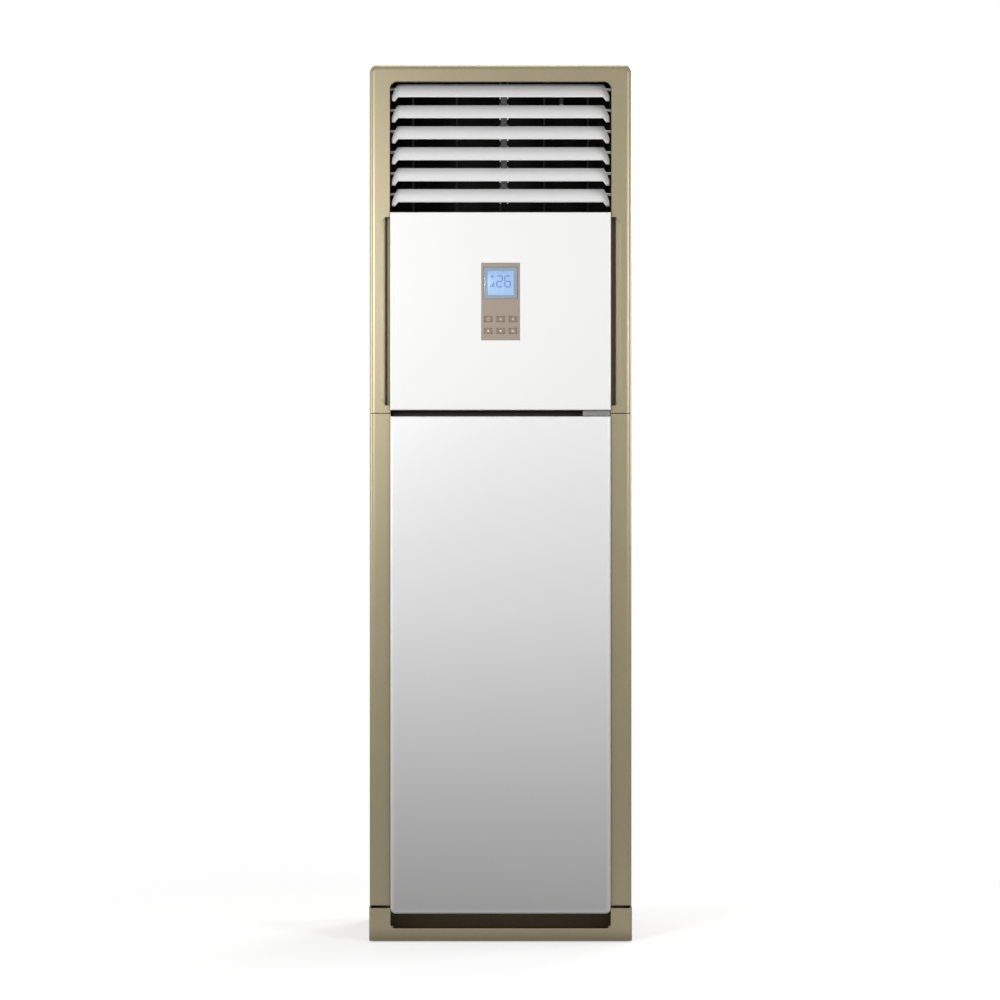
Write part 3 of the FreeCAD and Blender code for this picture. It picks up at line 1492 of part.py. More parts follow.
def make_back_fittings():
    node("pipe_grommet", back_fitting(fitting_x, s.grommet_z, s.grommet_bore, s.grommet_neck,
                                      s.grommet_flange))
    node("power_gland", back_fitting(-fitting_x, s.gland_z, s.gland_bore, s.gland_neck, s.gland_flange))


# Electrical box

def make_electrical_box():
    """An open tray behind the controls, its cover, the main board and the terminal block."""
    half = panel_half - s.box_margin
    low = control_bottom + s.box_rise
    high = low + s.box_height
    box_front = partition_front - s.box_depth
    outer = box(-half, half, box_front, partition_front, low, high)
    inner = box(-half + s.box_sheet, half - s.box_sheet, box_front, partition_front - s.box_sheet,
                low + s.box_sheet, high - s.box_sheet)
    node("electrical_box", cut(outer, inner))
    node("electrical_box_cover", box(-half, half, box_front - s.box_sheet, box_front, low, high))
    floor = partition_front - s.box_sheet
    board_back = floor - s.standoff
    margin = s.box_sheet + s.main_board_margin
    board_right = half - margin - s.terminal_width - s.main_board_margin
    board = box(-half + margin, board_right, board_back - s.board_sheet, board_back, low + margin,
                high - margin)
    foot = s.main_board_margin
    feet_x = (-half + margin, board_right - foot)
    legs = [box(x, x + foot, board_back, floor, z, z + foot)
            for x in feet_x for z in (low + margin, high - margin - foot)]
    relay = box(-half / 2, -half / 2 + s.terminal_height, board_back - s.board_sheet - s.terminal_depth,
                board_back - s.board_sheet, low + margin, low + margin + s.terminal_height)
    capacitor = cylinder("Y", 0, (low + high) / 2, board_back - s.board_sheet - s.terminal_depth,
                         board_back - s.board_sheet, s.main_board_margin)
    node("main_board", fuse(board, relay, capacitor, *legs))
    node("terminal_block", box(half - margin - s.terminal_width, half - margin, floor - s.terminal_depth, floor,
                               low + margin, low + margin + s.terminal_height))


make_levelling_feet()
make_base_pan()
make_plinth()
make_side_panels()
make_back_panel()
make_casing_screws()
make_top_cover()
make_upper_frame()
make_control_panel()
make_control_bezel()
make_lcd_lens()
make_display_board()
make_buttons()
make_outlet_duct()
make_louvres()
make_louvre_link_bar()
make_vertical_vanes()
make_swing_link_bar()
make_swing_motor()
make_lower_frame()
make_lower_panel()
make_door_seal()
make_panel_catch()
make_filter()
make_scroll()
make_fan_guard()
make_fan_wheel()
make_fan_shaft()
make_fan_motor()
make_motor_bracket()
make_coil()
make_drain()
make_refrigerant_pipes()
make_deck_plate()
make_back_fittings()
make_electrical_box()
doc.recompute()

failed = [item.Label for item in doc.Objects if "Invalid" in item.State or "Error" in item.State]
bad = [label for label, item in PARTS.items() if item.Shape.isNull() or not item.Shape.isValid()]
if failed or bad:
    raise RuntimeError(f"not built: {failed} {bad}")
os.makedirs("parts", exist_ok=True)
for label, item in PARTS.items():
    item.Shape.exportStep(f"parts/{label}.step")
print(len(PARTS), "parts written")
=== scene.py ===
import math

import bpy
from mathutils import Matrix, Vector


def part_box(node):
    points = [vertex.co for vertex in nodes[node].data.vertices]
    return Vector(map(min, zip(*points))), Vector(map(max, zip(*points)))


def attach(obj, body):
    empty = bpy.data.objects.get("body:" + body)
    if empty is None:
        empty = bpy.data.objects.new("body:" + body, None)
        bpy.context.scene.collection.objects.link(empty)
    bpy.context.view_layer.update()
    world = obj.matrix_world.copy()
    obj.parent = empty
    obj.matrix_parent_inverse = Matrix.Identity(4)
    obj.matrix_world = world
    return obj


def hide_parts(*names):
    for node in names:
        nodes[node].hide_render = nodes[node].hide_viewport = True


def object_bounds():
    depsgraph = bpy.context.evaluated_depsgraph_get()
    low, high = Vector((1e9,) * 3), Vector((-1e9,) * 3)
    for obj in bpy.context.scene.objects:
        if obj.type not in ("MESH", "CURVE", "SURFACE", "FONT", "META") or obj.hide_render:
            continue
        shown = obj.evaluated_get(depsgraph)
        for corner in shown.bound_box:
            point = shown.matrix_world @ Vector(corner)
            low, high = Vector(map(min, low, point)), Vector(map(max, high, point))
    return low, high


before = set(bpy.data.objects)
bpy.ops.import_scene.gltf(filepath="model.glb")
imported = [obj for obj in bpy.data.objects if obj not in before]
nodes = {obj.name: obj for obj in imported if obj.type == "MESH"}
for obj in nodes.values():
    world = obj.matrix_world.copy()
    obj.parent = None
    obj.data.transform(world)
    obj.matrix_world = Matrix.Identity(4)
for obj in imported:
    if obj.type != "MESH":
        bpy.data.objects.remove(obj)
cad_low, cad_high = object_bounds()


# Base pan, deck, blower front, motor bracket and coil ends
# Cut and folded from galvanised steel sheet, whose zinc shows flat crystals a few millimetres wide.
# The blower front is passivated yellow, and the pan is dark brown as painted shade for the air gap
# under the door.

def linear(red, green, blue):
    """A screen colour from 0 to 255 as the renderer's own linear numbers."""
    channels = []
    for level in (red, green, blue):
        share = level / 255
        channels.append(share / 12.92 if share <= 0.04045 else ((share + 0.055) / 1.055) ** 2.4)
    return (*channels, 1.0)


def new_effect(name, inputs, outputs):
    """An empty node group with its sockets. Inputs are (name, kind, default)."""
    tree = bpy.data.node_groups.new(name, "ShaderNodeTree")
    for label, kind, default in inputs:
        socket = tree.interface.new_socket(label, in_out="INPUT", socket_type=kind)
        socket.default_value = default
    for label, kind in outputs:
        tree.interface.new_socket(label, in_out="OUTPUT", socket_type=kind)
    return tree, tree.nodes.new("NodeGroupInput"), tree.nodes.new("NodeGroupOutput")


def make_uneven_tone():
    """Slow drifts of lightness, as paint and mouldings show over a hand's width."""
    tree, given, put = new_effect(
        "uneven_tone",
        [("Colour", "NodeSocketColor", (1, 1, 1, 1)), ("Scale", "NodeSocketFloat", 8),
         ("Depth", "NodeSocketFloat", 0.03)],
        [("Colour", "NodeSocketColor")])
    place = tree.nodes.new("ShaderNodeTexCoord")
    cloud = tree.nodes.new("ShaderNodeTexNoise")
    centred = tree.nodes.new("ShaderNodeMath")
    depth = tree.nodes.new("ShaderNodeMath")
    value = tree.nodes.new("ShaderNodeMath")
    tint = tree.nodes.new("ShaderNodeHueSaturation")
    cloud.inputs["Detail"].default_value = 5
    centred.operation = "SUBTRACT"
    centred.inputs[1].default_value = 0.5
    depth.operation = "MULTIPLY"
    value.operation = "ADD"
    value.inputs[1].default_value = 1
    tree.links.new(place.outputs["Object"], cloud.inputs["Vector"])
    tree.links.new(given.outputs["Scale"], cloud.inputs["Scale"])
    tree.links.new(cloud.outputs["Fac"], centred.inputs[0])
    tree.links.new(centred.outputs[0], depth.inputs[0])
    tree.links.new(given.outputs["Depth"], depth.inputs[1])
    tree.links.new(depth.outputs[0], value.inputs[0])
    tree.links.new(value.outputs[0], tint.inputs["Value"])
    tree.links.new(given.outputs["Colour"], tint.inputs["Color"])
    tree.links.new(tint.outputs["Color"], put.inputs["Colour"])
    return tree


def make_fine_grain():
    """The fine pebble of spark-eroded moulds and sprayed paint, as a bump."""
    tree, given, put = new_effect(
        "fine_grain",
        [("Scale", "NodeSocketFloat", 900), ("Depth", "NodeSocketFloat", 0.1)],
        [("Normal", "NodeSocketVector")])
    place = tree.nodes.new("ShaderNodeTexCoord")
    pebble = tree.nodes.new("ShaderNodeTexNoise")
    bump = tree.nodes.new("ShaderNodeBump")
    pebble.inputs["Detail"].default_value = 3
    bump.inputs["Distance"].default_value = 0.0004
    tree.links.new(place.outputs["Object"], pebble.inputs["Vector"])
    tree.links.new(given.outputs["Scale"], pebble.inputs["Scale"])
    tree.links.new(pebble.outputs["Fac"], bump.inputs["Height"])
    tree.links.new(given.outputs["Depth"], bump.inputs["Strength"])
    tree.links.new(bump.outputs["Normal"], put.inputs["Normal"])
    return tree


def make_handled_sheen():
    """Roughness that wanders a little where hands and cloths have been."""
    tree, given, put = new_effect(
        "handled_sheen",
        [("Roughness", "NodeSocketFloat", 0.4), ("Spread", "NodeSocketFloat", 0.06)],
        [("Roughness", "NodeSocketFloat")])
    place = tree.nodes.new("ShaderNodeTexCoord")
    smear = tree.nodes.new("ShaderNodeTexNoise")
    centred = tree.nodes.new("ShaderNodeMath")
    spread = tree.nodes.new("ShaderNodeMath")
    total = tree.nodes.new("ShaderNodeMath")
    smear.inputs["Scale"].default_value = 22
    smear.inputs["Detail"].default_value = 6
    centred.operation = "SUBTRACT"
    centred.inputs[1].default_value = 0.5
    spread.operation = "MULTIPLY"
    total.operation = "ADD"
    tree.links.new(place.outputs["Object"], smear.inputs["Vector"])
    tree.links.new(smear.outputs["Fac"], centred.inputs[0])
    tree.links.new(centred.outputs[0], spread.inputs[0])
    tree.links.new(given.outputs["Spread"], spread.inputs[1])
    tree.links.new(spread.outputs[0], total.inputs[0])
    tree.links.new(given.outputs["Roughness"], total.inputs[1])
    tree.links.new(total.outputs[0], put.inputs["Roughness"])
    return tree


def make_settled_dust():
    """A thin grey film on the faces that look up."""
    tree, given, put = new_effect(
        "settled_dust",
        [("Colour", "NodeSocketColor", (1, 1, 1, 1)), ("Amount", "NodeSocketFloat", 0.1)],
        [("Colour", "NodeSocketColor")])
    place = tree.nodes.new("ShaderNodeTexCoord")
    split = tree.nodes.new("ShaderNodeSeparateXYZ")
    cloud = tree.nodes.new("ShaderNodeTexNoise")
    upward = tree.nodes.new("ShaderNodeMath")
    patchy = tree.nodes.new("ShaderNodeMath")
    amount = tree.nodes.new("ShaderNodeMath")
    blend = tree.nodes.new("ShaderNodeMix")
    cloud.inputs["Scale"].default_value = 30
    upward.operation = "MAXIMUM"
    upward.inputs[1].default_value = 0
    patchy.operation = "MULTIPLY"
    amount.operation = "MULTIPLY"
    blend.data_type = "RGBA"
    blend.inputs["B"].default_value = linear(176, 172, 164)
    tree.links.new(place.outputs["Normal"], split.inputs["Vector"])
    tree.links.new(place.outputs["Object"], cloud.inputs["Vector"])
    tree.links.new(split.outputs["Z"], upward.inputs[0])
    tree.links.new(upward.outputs[0], patchy.inputs[0])
    tree.links.new(cloud.outputs["Fac"], patchy.inputs[1])
    tree.links.new(patchy.outputs[0], amount.inputs[0])
    tree.links.new(given.outputs["Amount"], amount.inputs[1])
    tree.links.new(amount.outputs[0], blend.inputs["Factor"])
    tree.links.new(given.outputs["Colour"], blend.inputs["A"])
    tree.links.new(blend.outputs["Result"], put.inputs["Colour"])
    return tree


uneven_tone = make_uneven_tone()
fine_grain = make_fine_grain()
handled_sheen = make_handled_sheen()
settled_dust = make_settled_dust()


def place_effect(tree, effect, **values):
    item = tree.nodes.new("ShaderNodeGroup")
    item.node_tree = effect
    for name, value in values.items():
        item.inputs[name].default_value = value
    return item


def shader_of(finish):
    return finish.node_tree.nodes["Principled BSDF"]


def new_finish(name, roughness, metallic=0.0, coat=0.0):
    """A material with the numbers that are the same all over set on its shader."""
    finish = bpy.data.materials.new(name)
    finish.use_nodes = True
    shader = shader_of(finish)
    shader.inputs["Roughness"].default_value = roughness
    shader.inputs["Metallic"].default_value = metallic
    shader.inputs["Coat Weight"].default_value = coat
    return finish, finish.node_tree, shader


def coloured_finish(name, colour, roughness, metallic=0.0, coat=0.0,
                    tone=(8, 0.06), grain=(900, 0.06), spread=0.08, dust=0.12):
    """One colour with dust and a handled sheen. Its tone and grain have a scale and a depth."""
    finish, tree, shader = new_finish(name, roughness, metallic, coat)
    drift = place_effect(tree, uneven_tone, Colour=colour, Scale=tone[0], Depth=tone[1])
    film = place_effect(tree, settled_dust, Amount=dust)
    sheen = place_effect(tree, handled_sheen, Roughness=roughness, Spread=spread)
    pebble = place_effect(tree, fine_grain, Scale=grain[0], Depth=grain[1])
    tree.links.new(drift.outputs["Colour"], film.inputs["Colour"])
    tree.links.new(film.outputs["Colour"], shader.inputs["Base Color"])
    tree.links.new(sheen.outputs["Roughness"], shader.inputs["Roughness"])
    tree.links.new(pebble.outputs["Normal"], shader.inputs["Normal"])
    return finish


def wear(finish, *names):
    """Give CAD nodes a finish."""
    for name in names:
        surface = nodes[name].data
        surface.materials.clear()
        surface.materials.append(finish)


def make_zinc_sheet():
    finish, tree, shader = new_finish("zinc_sheet", 0.42, metallic=0.85)
    place = tree.nodes.new("ShaderNodeTexCoord")
    crystal = tree.nodes.new("ShaderNodeTexVoronoi")
    lightness = tree.nodes.new("ShaderNodeSeparateColor")
    ramp = tree.nodes.new("ShaderNodeValToRGB")
    film = place_effect(tree, settled_dust, Amount=0.35)
    sheen = place_effect(tree, handled_sheen, Roughness=0.42, Spread=0.2)
    crystal.inputs["Scale"].default_value = 220
    ramp.color_ramp.elements[0].color = linear(158, 160, 162)
    ramp.color_ramp.elements[1].color = linear(178, 180, 182)
    tree.links.new(place.outputs["Object"], crystal.inputs["Vector"])
    tree.links.new(crystal.outputs["Color"], lightness.inputs["Color"])
    tree.links.new(lightness.outputs["Red"], ramp.inputs["Fac"])
    tree.links.new(ramp.outputs["Color"], film.inputs["Colour"])
    tree.links.new(film.outputs["Colour"], shader.inputs["Base Color"])
    tree.links.new(sheen.outputs["Roughness"], shader.inputs["Roughness"])
    return finish


zinc_sheet = make_zinc_sheet()
# Painted shade: the pan's dark brown stands for the shade seen through the air gap under the door.
pan_enamel = coloured_finish("pan_enamel", linear(50, 43, 35), 0.5,
                             tone=(14, 0.15), grain=(600, 0.1), dust=0.1)
yellow_zinc = coloured_finish("yellow_zinc", linear(190, 170, 134), 0.55, metallic=0.15,
                              tone=(14, 0.15), grain=(600, 0.1), dust=0.1)
wear(zinc_sheet, "deck_plate", "motor_bracket", "coil_end_plates")
wear(pan_enamel, "base_pan")
wear(yellow_zinc, "scroll_front")


# Levelling feet
# Four moulded rubber pads, each with a zinc plated stud and lock nut, carry the base pan and set
# the tall cabinet upright on an uneven floor.

def begin():
    """Leave edit mode with nothing selected, so that a new primitive stands alone."""
    if bpy.context.mode != "OBJECT":
        bpy.ops.object.mode_set(mode="OBJECT")
    bpy.ops.object.select_all(action="DESELECT")


def pick_faces(piece, choose):
    """Enter edit mode with only the faces selected that a test on centre and normal picks."""
    if bpy.context.mode != "OBJECT":
        bpy.ops.object.mode_set(mode="OBJECT")
    bpy.context.view_layer.objects.active = piece
    bpy.ops.object.mode_set(mode="EDIT")
    bpy.ops.mesh.select_mode(type="FACE")
    bpy.ops.mesh.select_all(action="DESELECT")
    bpy.ops.object.mode_set(mode="OBJECT")
    for face in piece.data.polygons:
        face.select = choose(face.center, face.normal)
    bpy.ops.object.mode_set(mode="EDIT")


def push_faces(piece, choose, inset, move):
    """Inset the faces that a test picks and push them along a vector."""
    pick_faces(piece, choose)
    bpy.ops.mesh.inset(thickness=inset)
    bpy.ops.mesh.extrude_region_move(TRANSFORM_OT_translate={"value": move})


def take(piece):
    """Select one piece alone and make it active."""
    begin()
    piece.select_set(True)
    bpy.context.view_layer.objects.active = piece


def soften(piece, width, segments=2, angle=40):
    """Bevel the edges sharper than an angle and shade the rest smooth."""
    take(piece)
    rounding = piece.modifiers.new("edge", "BEVEL")
    rounding.width = width
    rounding.segments = segments
    rounding.limit_method = "ANGLE"
    rounding.angle_limit = math.radians(angle)
    bpy.ops.object.modifier_apply(modifier=rounding.name)
    bpy.ops.object.shade_smooth_by_angle(angle=math.radians(35))


def settle(piece, name, finish, body):
    """Apply the place, name the piece, give it a finish and let it ride on a body."""
    take(piece)
    bpy.ops.object.transform_apply(location=True, rotation=True, scale=True)
    piece.name = name
    piece.data.name = name
    piece.data.materials.clear()
    piece.data.materials.append(finish)
    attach(piece, body)
    return piece


def join(pieces):
    """Join finished meshes into the first one."""
    begin()
    for piece in pieces:
        piece.select_set(True)
    bpy.context.view_layer.objects.active = pieces[0]
    bpy.ops.object.join()
    return bpy.context.view_layer.objects.active


def discard(pieces):
    begin()
    for piece in pieces:
        piece.select_set(True)
    bpy.ops.object.delete()


def copy_to(pattern, place):
    """A copy with its own mesh at (x, y, z, turn about Y in degrees)."""
    x, y, z, turn = place
    take(pattern)
    bpy.ops.object.duplicate(linked=False)
    piece = bpy.context.object
    piece.location = (x, y, z)
    piece.rotation_euler = (0, math.radians(turn), 0)
    bpy.ops.object.transform_apply(location=True, rotation=True, scale=False)
    return piece


def drum(radius, low, high, sides=32, axis="Z", at=(0, 0)):
    """A cylinder primitive along Z or Y between two levels, at a place across its axis."""
    begin()
    middle = (low + high) / 2
    if axis == "Z":
        spot, turn = (at[0], at[1], middle), (0, 0, 0)
    else:
        spot, turn = (at[0], middle, at[1]), (math.radians(90), 0, 0)
    bpy.ops.mesh.primitive_cylinder_add(vertices=sides, radius=radius, depth=high - low,
                                        location=spot, rotation=turn)
    piece = bpy.context.object
    bpy.ops.object.transform_apply(location=True, rotation=True, scale=True)
    return piece


def faces_along(axis, way):
    """A test for faces whose normal points one way along an axis."""
    index = "XYZ".index(axis)
    return lambda centre, normal: normal[index] * way > 0.9


black_rubber = coloured_finish("black_rubber", linear(34, 34, 35), 0.72,
                               tone=(25, 0.25), grain=(1400, 0.25), dust=0.3)
screw_steel = coloured_finish("screw_steel", linear(176, 178, 180), 0.3, metallic=1.0,
                              tone=(60, 0.1), dust=0.05)
foot_low, foot_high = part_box("levelling_feet")
FOOT_RADIUS = 0.02
PAD_TOP = 0.012
PAD_EDGE = 0.0012
SOLE_RIM = 0.004
SOLE_DEPTH = 0.0015
COLLAR_INSET = 0.005
COLLAR_HEIGHT = 0.001
STUD_RADIUS = 0.004
NUT_RADIUS = 0.0075
NUT_BOTTOM = PAD_TOP + 0.0025
NUT_TOP = PAD_TOP + 0.0085
BOLT_EDGE = 0.0005

pattern_pad = drum(FOOT_RADIUS, 0.0, PAD_TOP - COLLAR_HEIGHT, sides=48)
push_faces(pattern_pad, faces_along("Z", -1), SOLE_RIM, (0, 0, SOLE_DEPTH))
push_faces(pattern_pad, faces_along("Z", 1), COLLAR_INSET, (0, 0, COLLAR_HEIGHT))
soften(pattern_pad, PAD_EDGE, segments=3)
stud = drum(STUD_RADIUS, PAD_TOP, foot_high.z, sides=24)
nut = drum(NUT_RADIUS, NUT_BOTTOM, NUT_TOP, sides=6)
pattern_bolt = join([stud, nut])
soften(pattern_bolt, BOLT_EDGE)
foot_spots = [(x, y, 0, 0) for x in (foot_low.x + FOOT_RADIUS, foot_high.x - FOOT_RADIUS)
              for y in (foot_low.y + FOOT_RADIUS, foot_high.y - FOOT_RADIUS)]
for number, spot in enumerate(foot_spots, start=1):
    pad, bolt = copy_to(pattern_pad, spot), copy_to(pattern_bolt, spot)
    settle(pad, f"foot_pad_{number}", black_rubber, "cabinet")
    settle(bolt, f"foot_bolt_{number}", screw_steel, "cabinet")
    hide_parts("levelling_feet")
discard([pattern_pad, pattern_bolt])


# Blower
# A moulded snail housing with a grille over its inlet, a forward-curved wheel of dark plastic
# on a steel shaft, and a black enamelled motor on a bracket behind it.

dark_plastic = coloured_finish("dark_plastic", linear(58, 58, 60), 0.5,
                               tone=(14, 0.12), grain=(1100, 0.12))
motor_enamel = coloured_finish("motor_enamel", linear(38, 38, 41), 0.32, coat=0.3,
                               tone=(20, 0.1), grain=(500, 0.05))
wear(dark_plastic, "scroll_rear", "fan_guard", "fan_wheel")
wear(motor_enamel, "fan_motor")
wear(screw_steel, "fan_shaft")


# Coil, drain and pipes
# Pressed aluminium fins on copper tubes, held by the end plates, over a moulded drain pan
# whose hose leads out at the back. The pipes are soft copper with flare nuts.

fin_aluminium = coloured_finish("fin_aluminium", linear(206, 208, 210), 0.36, metallic=0.9,
                                tone=(30, 0.1), dust=0.25)
copper = coloured_finish("copper", linear(196, 122, 84), 0.3, metallic=1.0,
                         tone=(40, 0.25), dust=0.1)
grey_plastic = coloured_finish("grey_plastic", linear(172, 172, 169), 0.46,
                               tone=(10, 0.06), grain=(1000, 0.1))
wear(fin_aluminium, "coil_fins")
wear(copper, "coil_tubes", "refrigerant_pipes")
wear(grey_plastic, "drain_pan")
wear(black_rubber, "drain_hose")


# Cabinet sides and back
# Steel sheets with a sprayed and baked powder coat, whose skin has the slight ripple of orange
# peel. The back is screwed to the folded flanges of the sides.

cabinet_paint = coloured_finish("cabinet_paint", linear(176, 168, 148), 0.4, coat=0.15,
                                tone=(3, 0.05), grain=(420, 0.16), spread=0.1, dust=0.3)
shader_of(cabinet_paint).inputs["Coat Roughness"].default_value = 0.25
wear(cabinet_paint, "left_side_panel", "right_side_panel", "back_panel")


# Back panel screws, pipe grommet and cable gland
# Zinc plated pan head screws with a cross recess hold the back panel. A rubber ring lines the
# pipe hole, and a dark plastic gland with a six-sided cap has the bore for the supply cable.

def block(low, high):
    """A cube primitive between two corners, in metres."""
    begin()
    middle = [(a + b) / 2 for a, b in zip(low, high)]
    size = [b - a for a, b in zip(low, high)]
    bpy.ops.mesh.primitive_cube_add(size=1, location=middle)
    piece = bpy.context.object
    piece.scale = size
    bpy.ops.object.transform_apply(location=True, rotation=True, scale=True)
    return piece


def copies(pattern, places):
    """Copies of a pattern at several places. The pattern itself is removed."""
    made = [copy_to(pattern, place) for place in places]
    discard([pattern])
    return made


def cut(piece, tools):
    """Take the shapes of tools out of a piece, and the tools away."""
    for tool in tools:
        recess = piece.modifiers.new("recess", "BOOLEAN")
        recess.object = tool
        recess.operation = "DIFFERENCE"
        take(piece)
        bpy.ops.object.modifier_apply(modifier=recess.name)
    discard(tools)


HEAD_RADIUS = 0.0045
HEAD_HEIGHT = 0.002
HEAD_INSET = 0.0016
HEAD_EDGE = 0.0006
CROSS_REACH = 0.0022
CROSS_HALF = 0.0005
CROSS_DEPTH = 0.0011
SHANK_RADIUS = 0.002
TOOL_EXCESS = 0.001
SCREW_ROWS = 5
screw_low, screw_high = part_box("casing_screws")
back_face = screw_high.y - HEAD_HEIGHT


def make_screw():
    """A domed head with a cross sunk into it, on a short shank."""
    head = drum(HEAD_RADIUS, back_face, screw_high.y, sides=24, axis="Y")
    pick_faces(head, faces_along("Y", 1))
    bpy.ops.mesh.inset(thickness=HEAD_INSET)
    soften(head, HEAD_EDGE, segments=3)
    arm = block((-CROSS_REACH, screw_high.y - CROSS_DEPTH, -CROSS_HALF),
                (CROSS_REACH, screw_high.y + TOOL_EXCESS, CROSS_HALF))
    cut(head, copies(arm, [(0, 0, 0, turn) for turn in (0, 90)]))
    shank = drum(SHANK_RADIUS, screw_low.y, back_face, sides=16, axis="Y")
    return join([head, shank])


screw_columns = {"left": screw_low.x + HEAD_RADIUS, "right": screw_high.x - HEAD_RADIUS}
first_row = screw_low.z + HEAD_RADIUS
row_step = (screw_high.z - screw_low.z - 2 * HEAD_RADIUS) / (SCREW_ROWS - 1)
screw_names = [f"back_screw_{side}_{row + 1}"
               for row in range(SCREW_ROWS) for side in screw_columns]
screw_spots = [(x, 0, first_row + row * row_step, 0)
               for row in range(SCREW_ROWS) for x in screw_columns.values()]
for name, screw in zip(screw_names, copies(make_screw(), screw_spots)):
    settle(screw, name, screw_steel, "cabinet")
    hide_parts("casing_screws")
wear(black_rubber, "pipe_grommet")

GLAND_BORE = 0.006
GLAND_EDGE = 0.0007
gland_low, gland_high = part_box("power_gland")
gland_spot = ((gland_low.x + gland_high.x) / 2, (gland_low.z + gland_high.z) / 2)
cap = drum((gland_high.x - gland_low.x) / 2, gland_low.y, gland_high.y,
           sides=6, axis="Y", at=gland_spot)
cut(cap, [drum(GLAND_BORE, gland_low.y - TOOL_EXCESS, gland_high.y + TOOL_EXCESS,
               axis="Y", at=gland_spot)])
soften(cap, GLAND_EDGE)
settle(cap, "gland_cap", dark_plastic, "cabinet")
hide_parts("power_gland")


# Electrical box
# A grey plastic tray with a cover, behind the controls. It holds the main board, green with
# lacquer over its tracks, and the dark terminal block for the supply.

def make_board_lacquer():
    finish, tree, shader = new_finish("circuit_board", 0.35, coat=0.4)
    place = tree.nodes.new("ShaderNodeTexCoord")
    tracks = tree.nodes.new("ShaderNodeTexBrick")
    tracks.inputs["Color1"].default_value = linear(22, 84, 48)
    tracks.inputs["Color2"].default_value = linear(30, 98, 56)
    tracks.inputs["Mortar"].default_value = linear(46, 120, 70)
    tracks.inputs["Scale"].default_value = 120
    tracks.inputs["Mortar Size"].default_value = 0.03
    turn = tree.nodes.new("ShaderNodeMapping")
    turn.inputs["Rotation"].default_value = (math.radians(90), 0, 0)
    tree.links.new(place.outputs["Object"], turn.inputs["Vector"])
    tree.links.new(turn.outputs["Vector"], tracks.inputs["Vector"])
    tree.links.new(tracks.outputs["Color"], shader.inputs["Base Color"])
    return finish


circuit_board = make_board_lacquer()
wear(grey_plastic, "electrical_box", "electrical_box_cover")
wear(circuit_board, "main_board")
wear(dark_plastic, "terminal_block")


# Outlet duct, upright vanes, their link and the swing motor
# Matt black mouldings. The vanes turn on small pins in the duct's floor and roof, joined by a flat
# bar under them, and a dark geared motor below the floor drives the middle one.

black_plastic = coloured_finish("black_plastic", linear(9, 9, 9), 0.8,
                                tone=(12, 0.2), grain=(1300, 0.2), dust=0.0)
wear(black_plastic, "outlet_duct", "swing_link_bar")
wear(black_plastic, *[f"vertical_vane_{number}" for number in range(1, 6)])
wear(dark_plastic, "swing_motor")


# Louvres and their link bar
# Six crowned blades of dark plastic, sprayed silver from the front, with a small ear at the lower
# corners. A grey bar behind them joins their cranks so that they tilt as one.

def make_painted_recess_shade():
    """Painted shade: darker where the surface lies deep between other pieces."""
    tree, given, put = new_effect(
        "painted_recess_shade",
        [("Colour", "NodeSocketColor", (1, 1, 1, 1)), ("Grime", "NodeSocketColor", (0, 0, 0, 1)),
         ("Reach", "NodeSocketFloat", 0.02), ("Depth", "NodeSocketFloat", 1.5)],
        [("Colour", "NodeSocketColor")])
    corner = tree.nodes.new("ShaderNodeAmbientOcclusion")
    deepen = tree.nodes.new("ShaderNodeMath")
    blend = tree.nodes.new("ShaderNodeMix")
    corner.samples = 8
    deepen.operation = "POWER"
    blend.data_type = "RGBA"
    tree.links.new(given.outputs["Reach"], corner.inputs["Distance"])
    tree.links.new(corner.outputs["AO"], deepen.inputs[0])
    tree.links.new(given.outputs["Depth"], deepen.inputs[1])
    tree.links.new(deepen.outputs[0], blend.inputs["Factor"])
    tree.links.new(given.outputs["Grime"], blend.inputs["A"])
    tree.links.new(given.outputs["Colour"], blend.inputs["B"])
    tree.links.new(blend.outputs["Result"], put.inputs["Colour"])
    return tree


painted_recess_shade = make_painted_recess_shade()


def shade_recesses(finish, shade_colour, reach, depth):
    """Put painted shade into the recesses of a finish."""
    tree = finish.node_tree
    base = shader_of(finish).inputs["Base Color"]
    unshaded = base.links[0].from_socket
    recess = place_effect(tree, painted_recess_shade, Grime=shade_colour, Reach=reach, Depth=depth)
    tree.links.new(unshaded, recess.inputs["Colour"])
    tree.links.new(recess.outputs["Colour"], base)


def bare_and_shaded_rear(finish, colour, start, end):
    """Dark grey behind the depth that the spray reached: the plain moulding, and painted shade
    between the blades.
    """
    tree = finish.node_tree
    base = shader_of(finish).inputs["Base Color"]
    sprayed = base.links[0].from_socket
    place = tree.nodes.new("ShaderNodeTexCoord")
    split = tree.nodes.new("ShaderNodeSeparateXYZ")
    behind = tree.nodes.new("ShaderNodeMapRange")
    bare_and_shade = tree.nodes.new("ShaderNodeMix")
    behind.inputs["From Min"].default_value = start
    behind.inputs["From Max"].default_value = end
    bare_and_shade.data_type = "RGBA"
    bare_and_shade.inputs["B"].default_value = colour
    tree.links.new(place.outputs["Object"], split.inputs["Vector"])
    tree.links.new(split.outputs["Y"], behind.inputs["Value"])
    tree.links.new(behind.outputs["Result"], bare_and_shade.inputs["Factor"])
    tree.links.new(sprayed, bare_and_shade.inputs["A"])
    tree.links.new(bare_and_shade.outputs["Result"], base)


SPRAY_DEPTH = 0.029
SPRAY_FADE = 0.006
blade_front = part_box("horizontal_louvre_1")[0].y
spray_end = blade_front + SPRAY_DEPTH
louvre_silver = coloured_finish("louvre_silver", linear(244, 244, 244), 0.42, coat=0.1,
                                tone=(6, 0.04), grain=(1500, 0.05), dust=0.05)
# Painted shade: the blades darken to grey where they lie close between and behind one another.
shade_recesses(louvre_silver, linear(96, 96, 96), reach=0.02, depth=1.5)
